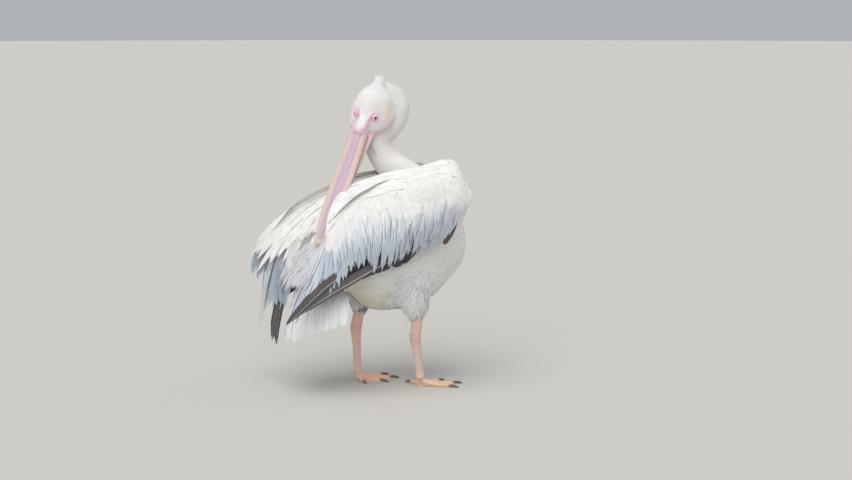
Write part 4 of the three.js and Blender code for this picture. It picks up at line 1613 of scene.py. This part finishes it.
def make_tail():
    """Sixteen broad white tail feathers with rounded ends, and the coverts over and under their roots."""
    c = colours()
    skin = SkinMap()
    rng = draws("tail")
    tract = Tract(TAIL)
    # Painted shade: the white tail takes some of the sky-blue shade.
    pale = mixed(np.array(c.white) * 1.12, c.sky_blue_shade, 0.3)
    coat = Coat()
    for half, lift in ((0, -1.2), (1, 0.6)):
        feather_row(coat, skin, tract, rng, 1.0 - 0.012 * half, 0.97, 8, 31, pale * (1 - 0.06 * half),
                    outline=PADDLE, ragged=0.006, lift=(lift, lift), height=thin, scatter=0.03, sway=0.002,
                    shaft=c.quill, quill_width=1.6, span=(0.005 + 0.0625 * half, 0.94 + 0.0625 * half))
    for row in range(4):
        for face in (1, -1):
            feather_row(coat, skin, tract, rng, 0.58 - 0.12 * row, 0.42, 26, 19, mixed(c.white, c.rump, 0.3),
                        ragged=0.03, lift=(2.0 + row, 3.5 + row), height=thin, sway=0.01, face=face)
    rump = Tract(RUMP)
    for row in range(7):
        feather_row(coat, skin, rump, rng, 1.0 - 0.13 * row, min(0.42, 1.02 - 0.13 * row), 15, 20, c.rump,
                    ragged=0.04, lift=(-1.5, 2.0), height=thin, sway=0.02)
    coat.build("tail_feathers", hanging_finish(), ("tail",))


# ---------- bill, eyes and claws ----------

def bill_bow(x):
    """How far the bill's middle line lies to the left at a distance from its base."""
    return 2.2 * ramp(x, 30, 120)


def shape_bill(node, p):
    """Squares the edges where the halves of the bill meet, and broadens its root to the width of the face."""
    along, _, middle, half = BILL[node]
    x = p[:, 0]
    rise = np.clip((p[:, 2] - np.interp(x, along, middle)) / np.interp(x, along, half), -0.97, 0.97)
    inner = (rise < 0) if node == "upper_bill" else (rise > 0)
    square = np.sqrt((1 - rise**6) / (1 - rise**2))
    p[:, 1] *= np.where(inner, np.minimum(square, 1.7), 1)
    if node == "upper_bill":
        p[:, 1] *= np.where(p[:, 1] < 0, 1.02 + 0.10 * (1 - ramp(x, 20, 110)), 1.08)
        p[:, 2] -= 2.2 * (1 - ramp(x, 14, 46)) * (rise > 0)
        p[:, 1:] = mixed((0, -17), p[:, 1:], 0.84 + 0.16 * ramp(x, 0, 34))
    p[:, 1] += bill_bow(x)
    return p


def upper_bill_tone(x, off_middle, groove):
    """A mauve ridge, golden bands beside it and pinker edges, vivid at the base and golden at the nail."""
    c = colours()
    tone = mixed(c.bill_ridge, c.bill_gold, ramp(off_middle, 0.16, 0.72))
    tone = mixed(tone, c.bill_edge, ramp(off_middle, 0.62, 0.98) * (1 - 0.5 * ramp(x, 180, 300)))
    tone = mixed(tone, c.vivid, 0.65 * (1 - ramp(x, 8, 34)) * ramp(off_middle, 0.05, 0.3))
    tone = mixed(tone, c.bill_edge, 0.45 * (1 - ramp(x, 20, 120)) * ramp(off_middle, 0.3, 0.7))
    tone = mixed(tone, c.vivid, 0.25 * (1 - ramp(x, 26, 62)))
    # Painted shade: darker in the grooves beside the ridge.
    tone = tone * (1 - 0.08 * groove)[:, None]
    return mixed(tone, c.bill_gold, ramp(x, 335, 352))


def lower_bill_tone(x):
    c = colours()
    tone = mixed(c.bill_edge, c.bill_gold, 0.4 + 0.5 * ramp(x, 60, 300))
    return mixed(tone, c.vivid, 0.22 * (1 - ramp(x, 30, 150)))


def make_bill(node):
    mesh = remeshed(merged_node(node, 0.0), sizes().bill_grain)
    links = links_of(mesh)
    p = shape_bill(node, to_head(rounded(corners(mesh), links, 4)))
    p = to_head(eased(head_to_frame(p), links, 2))
    move_corners(mesh, head_to_frame(p))
    x = p[:, 0]
    along, width, _, _ = BILL[node]
    aside = p[:, 1] - (bill_bow(x) + 1.2)
    off_middle = np.abs(aside) / np.interp(x, along, width)
    if node == "upper_bill":
        top = ramp((normals_of(mesh) @ HEAD_AXES)[:, 2], 0.1, 0.6)
        fade = ramp(x, 4, 40) * ramp(352 - x, 0, 16)
        ridge = 1.4 * np.exp(-((off_middle / 0.22) ** 2)) - 1.1 * np.exp(-(((off_middle - 0.42) / 0.07) ** 2))
        nail = 1.6 * ramp(x, 338, 350) * (1 - ramp(x, 356, 368))
        p[:, 2] += top * (ridge * fade + nail)
        # How deep in the grooves beside the ridge a point lies, for the painted shade there.
        groove = np.exp(-(((off_middle - 0.42) / 0.06) ** 2)) * fade * top
        tone = upper_bill_tone(x, off_middle, groove)
    else:
        tone = lower_bill_tone(x)
    move_corners(mesh, head_to_frame(p))
    store(mesh, "tone", tone)
    store(mesh, "streak", off_middle * 3 + np.sign(aside) * 0.7, "FLOAT")
    finish = finish_named("bill_horn", lambda: horn_finish("bill_horn", 0.42, 9.0))
    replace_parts(dressed(object_of(node + "_horn", mesh), finish), node)


def make_eye(side):
    """An eyeball whose clear front stands out a little, with a dark pupil in its iris."""
    ball = bmesh.new()
    bmesh.ops.create_uvsphere(ball, u_segments=40, v_segments=28, radius=EYE_RADIUS)
    rise = np.array([v.co.z for v in ball.verts]) / EYE_RADIUS
    for corner, up in zip(ball.verts, rise):
        corner.co *= 1 + 0.05 * float(ramp(up, 0.86, 1.0))
    sign = 1 if side == "left" else -1
    axis = Vector(HEAD_AXES @ eye_axis(sign))
    turn = Vector((0, 0, 1)).rotation_difference(axis).to_matrix().to_4x4()
    centre = Matrix.Translation(head_to_frame(eye_centre(sign)))
    bmesh.ops.transform(ball, verts=ball.verts, matrix=centre @ turn @ Matrix.Scale(MM, 4))
    mesh = mesh_of(f"{side}_eyeball", ball)
    tone = mixed(PUPIL_TONE, colours().iris, 1 - ramp(rise, 0.945, 0.955))
    store(mesh, "tone", mixed(tone, EYEBALL_TONE, 1 - ramp(rise, 0.84, 0.88)))
    piece = dressed(object_of(mesh.name, mesh), finish_named("wet_eye", eye_finish))
    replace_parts(piece, f"{side}_eye")


def make_claws(side):
    """The four claws of a foot, each bent down to the floor from inside its toe."""
    nodes = [f"{side}_claw_{number}" for number in (1, 2, 3, 4)]
    skin = SkinMap()
    coat = Coat()
    fractions, _ = stations_of(CLAW)
    ankle = np.array(ANKLE[side], float)
    for node in nodes:
        solid = merged_node(node, 0.0)
        spots = to_bird([v.co for v in solid.verts]) - ankle
        solid.free()
        way = unit(spots[:, :2].mean(axis=0))
        along = spots[:, :2] @ way
        guides = ((along.min() - 12, 5.2), (along.min() + 5, 6.6), (along.max() + 0.5, 0.9))
        a, b, c = (np.array((*(ankle[:2] + way * reach), height)) for reach, height in guides)
        spines = to_frame(bend(a, b, c, fractions[:, None]))[None]
        outs = np.tile((0.0, 0.0, 1.0), (1, len(CLAW), 1))
        tones = np.array(colours().claw) * np.linspace(2.2, 0.8, len(CLAW))[None, :, None]
        coat.add(spines, outs, np.array([CLAW_WIDTH]), tones, skin.patches(spines[:, 0]), CLAW, CLAW_DEPTH,
                 sides=10)
    finish = finish_named("claw_horn", lambda: horn_finish("claw_horn", 0.35, 4.0))
    coat.build(f"{side}_claws", finish, nodes)


# ---------- stage ----------

def make_camera():
    """Sets the camera up on the bird's right. Gives the ways to the camera's right and back towards it."""
    right = Vector((cos(VIEW_TURN), sin(VIEW_TURN), 0))
    up = Vector((-sin(VIEW_TURN) * sin(VIEW_TILT), cos(VIEW_TURN) * sin(VIEW_TILT), cos(VIEW_TILT)))
    back = right.cross(up)
    aside = (GROUND_PIXEL[0] - PICTURE_WIDTH / 2) / FOCAL_PIXELS * VIEW_DISTANCE
    above = (PICTURE_HEIGHT / 2 - GROUND_PIXEL[1]) / FOCAL_PIXELS * VIEW_DISTANCE
    place = Vector(to_frame((0, 0, 0))) - right * aside - up * above + back * VIEW_DISTANCE
    data = bpy.data.cameras.new("camera")
    data.sensor_width = SENSOR_WIDTH
    data.lens = FOCAL_PIXELS / PICTURE_WIDTH * SENSOR_WIDTH
    camera = bpy.data.objects.new("camera", data)
    bpy.context.scene.collection.objects.link(camera)
    turn = Matrix((right, up, back)).transposed().to_4x4()
    camera.matrix_world = Matrix.Translation(place) @ turn
    bpy.context.scene.camera = camera
    return right, back


def soft_sun(name, way, spread, power, tint=(1, 1, 1)):
    """A broad even light from the side that way points to."""
    data = bpy.data.lights.new(name, "SUN")
    data.angle = radians(spread)
    data.energy = power
    data.color = tint
    lamp = bpy.data.objects.new(name, data)
    bpy.context.scene.collection.objects.link(lamp)
    lamp.matrix_world = Vector(way).to_track_quat("Z", "Y").to_matrix().to_4x4()


def make_stage():
    ground = bmesh.new()
    bmesh.ops.create_circle(ground, cap_ends=True, segments=96, radius=FLOOR_RADIUS)
    floor = object_of("floor", mesh_of("floor", ground))
    floor.data.materials.append(floor_finish())
    right, back = make_camera()
    high = Vector((0, 0, 1))
    soft_sun("overhead", high + back * 0.35 - right * 0.2, 50, 1.65, (1.0, 0.985, 0.955))
    soft_sun("front", back + high * 0.30 - right * 0.25, 60, 0.85, (1.0, 0.995, 0.985))
    soft_sun("side", right + high * 0.4 - back * 0.3, 60, 0.35, (0.95, 0.97, 1.0))
    world = bpy.data.worlds.new("studio")
    bpy.context.scene.world = world
    world.use_nodes = True
    shade = world.node_tree.nodes["Background"]
    shade.inputs["Color"].default_value = (0.82, 0.85, 0.90, 1)
    shade.inputs["Strength"].default_value = 0.52
    bpy.context.scene.view_settings.view_transform = "Standard"


# ---------- operators ----------

class PelicanOperator:
    bl_options = {"REGISTER", "UNDO"}


class PELICAN_OT_skin(PelicanOperator, bpy.types.Operator):
    """One skin over head, neck, trunk, wings, legs and feet"""
    bl_idname = "pelican.skin"
    bl_label = "Skin"

    def execute(self, context):
        make_skin()
        return {"FINISHED"}


class PELICAN_OT_eyes(PelicanOperator, bpy.types.Operator):
    """Both eyeballs, behind their lids"""
    bl_idname = "pelican.eyes"
    bl_label = "Eyes"

    def execute(self, context):
        for side in ("right", "left"):
            make_eye(side)
        return {"FINISHED"}


class PELICAN_OT_bill(PelicanOperator, bpy.types.Operator):
    """Upper and lower bill, with ridge, grooves and nail"""
    bl_idname = "pelican.bill"
    bl_label = "Bill"

    def execute(self, context):
        for node in BILL:
            make_bill(node)
        return {"FINISHED"}


class PELICAN_OT_claws(PelicanOperator, bpy.types.Operator):
    """The claws of both feet"""
    bl_idname = "pelican.claws"
    bl_label = "Claws"

    def execute(self, context):
        for side in ("right", "left"):
            make_claws(side)
        return {"FINISHED"}


class PELICAN_OT_small_feathers(PelicanOperator, bpy.types.Operator):
    """The small feathers of head, neck, trunk, thighs and upper wings"""
    bl_idname = "pelican.small_feathers"
    bl_label = "Small feathers"

    def execute(self, context):
        for region in CONTOUR:
            make_contour_coat(region)
        return {"FINISHED"}


class PELICAN_OT_wing_feathers(PelicanOperator, bpy.types.Operator):
    """Coverts, scapulars, tertials and flight feathers of both wings"""
    bl_idname = "pelican.wing_feathers"
    bl_label = "Wing feathers"

    def execute(self, context):
        for side in ("right", "left"):
            make_flight_feathers(side)
            make_coverts(side)
            make_shoulder(side)
        make_lone_feathers()
        return {"FINISHED"}


class PELICAN_OT_tail(PelicanOperator, bpy.types.Operator):
    """The fan of tail feathers and their coverts"""
    bl_idname = "pelican.tail"
    bl_label = "Tail"

    def execute(self, context):
        make_tail()
        return {"FINISHED"}


class PELICAN_OT_stage(PelicanOperator, bpy.types.Operator):
    """Floor, lights and camera"""
    bl_idname = "pelican.stage"
    bl_label = "Stage"

    def execute(self, context):
        make_stage()
        return {"FINISHED"}


PIECES = (
    PELICAN_OT_skin,
    PELICAN_OT_eyes,
    PELICAN_OT_bill,
    PELICAN_OT_claws,
    PELICAN_OT_small_feathers,
    PELICAN_OT_wing_feathers,
    PELICAN_OT_tail,
    PELICAN_OT_stage,
)


class PELICAN_PT_panel(bpy.types.Panel):
    """The pelican's pieces, sizes and colours"""
    bl_idname = "PELICAN_PT_panel"
    bl_label = "Pelican"
    bl_space_type = "VIEW_3D"
    bl_region_type = "UI"
    bl_category = "Pelican"

    def draw(self, context):
        for piece in PIECES:
            self.layout.operator(piece.bl_idname)
        for group in (context.scene.pelican_sizes, context.scene.pelican_colours):
            box = self.layout.box()
            for name in group.__annotations__:
                box.prop(group, name)


CLASSES = (PelicanSizes, PelicanColours, *PIECES, PELICAN_PT_panel)


def register():
    for each in CLASSES:
        bpy.utils.register_class(each)
    bpy.types.Scene.pelican_sizes = PointerProperty(type=PelicanSizes)
    bpy.types.Scene.pelican_colours = PointerProperty(type=PelicanColours)


def unregister():
    del bpy.types.Scene.pelican_colours
    del bpy.types.Scene.pelican_sizes
    for each in reversed(CLASSES):
        bpy.utils.unregister_class(each)


def main():
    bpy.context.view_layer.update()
    register()
    bpy.ops.pelican.stage()
    bpy.ops.pelican.skin()
    bpy.ops.pelican.eyes()
    bpy.ops.pelican.bill()
    bpy.ops.pelican.claws()
    bpy.ops.pelican.small_feathers()
    bpy.ops.pelican.wing_feathers()
    bpy.ops.pelican.tail()


if __name__ == "__main__":
    main()
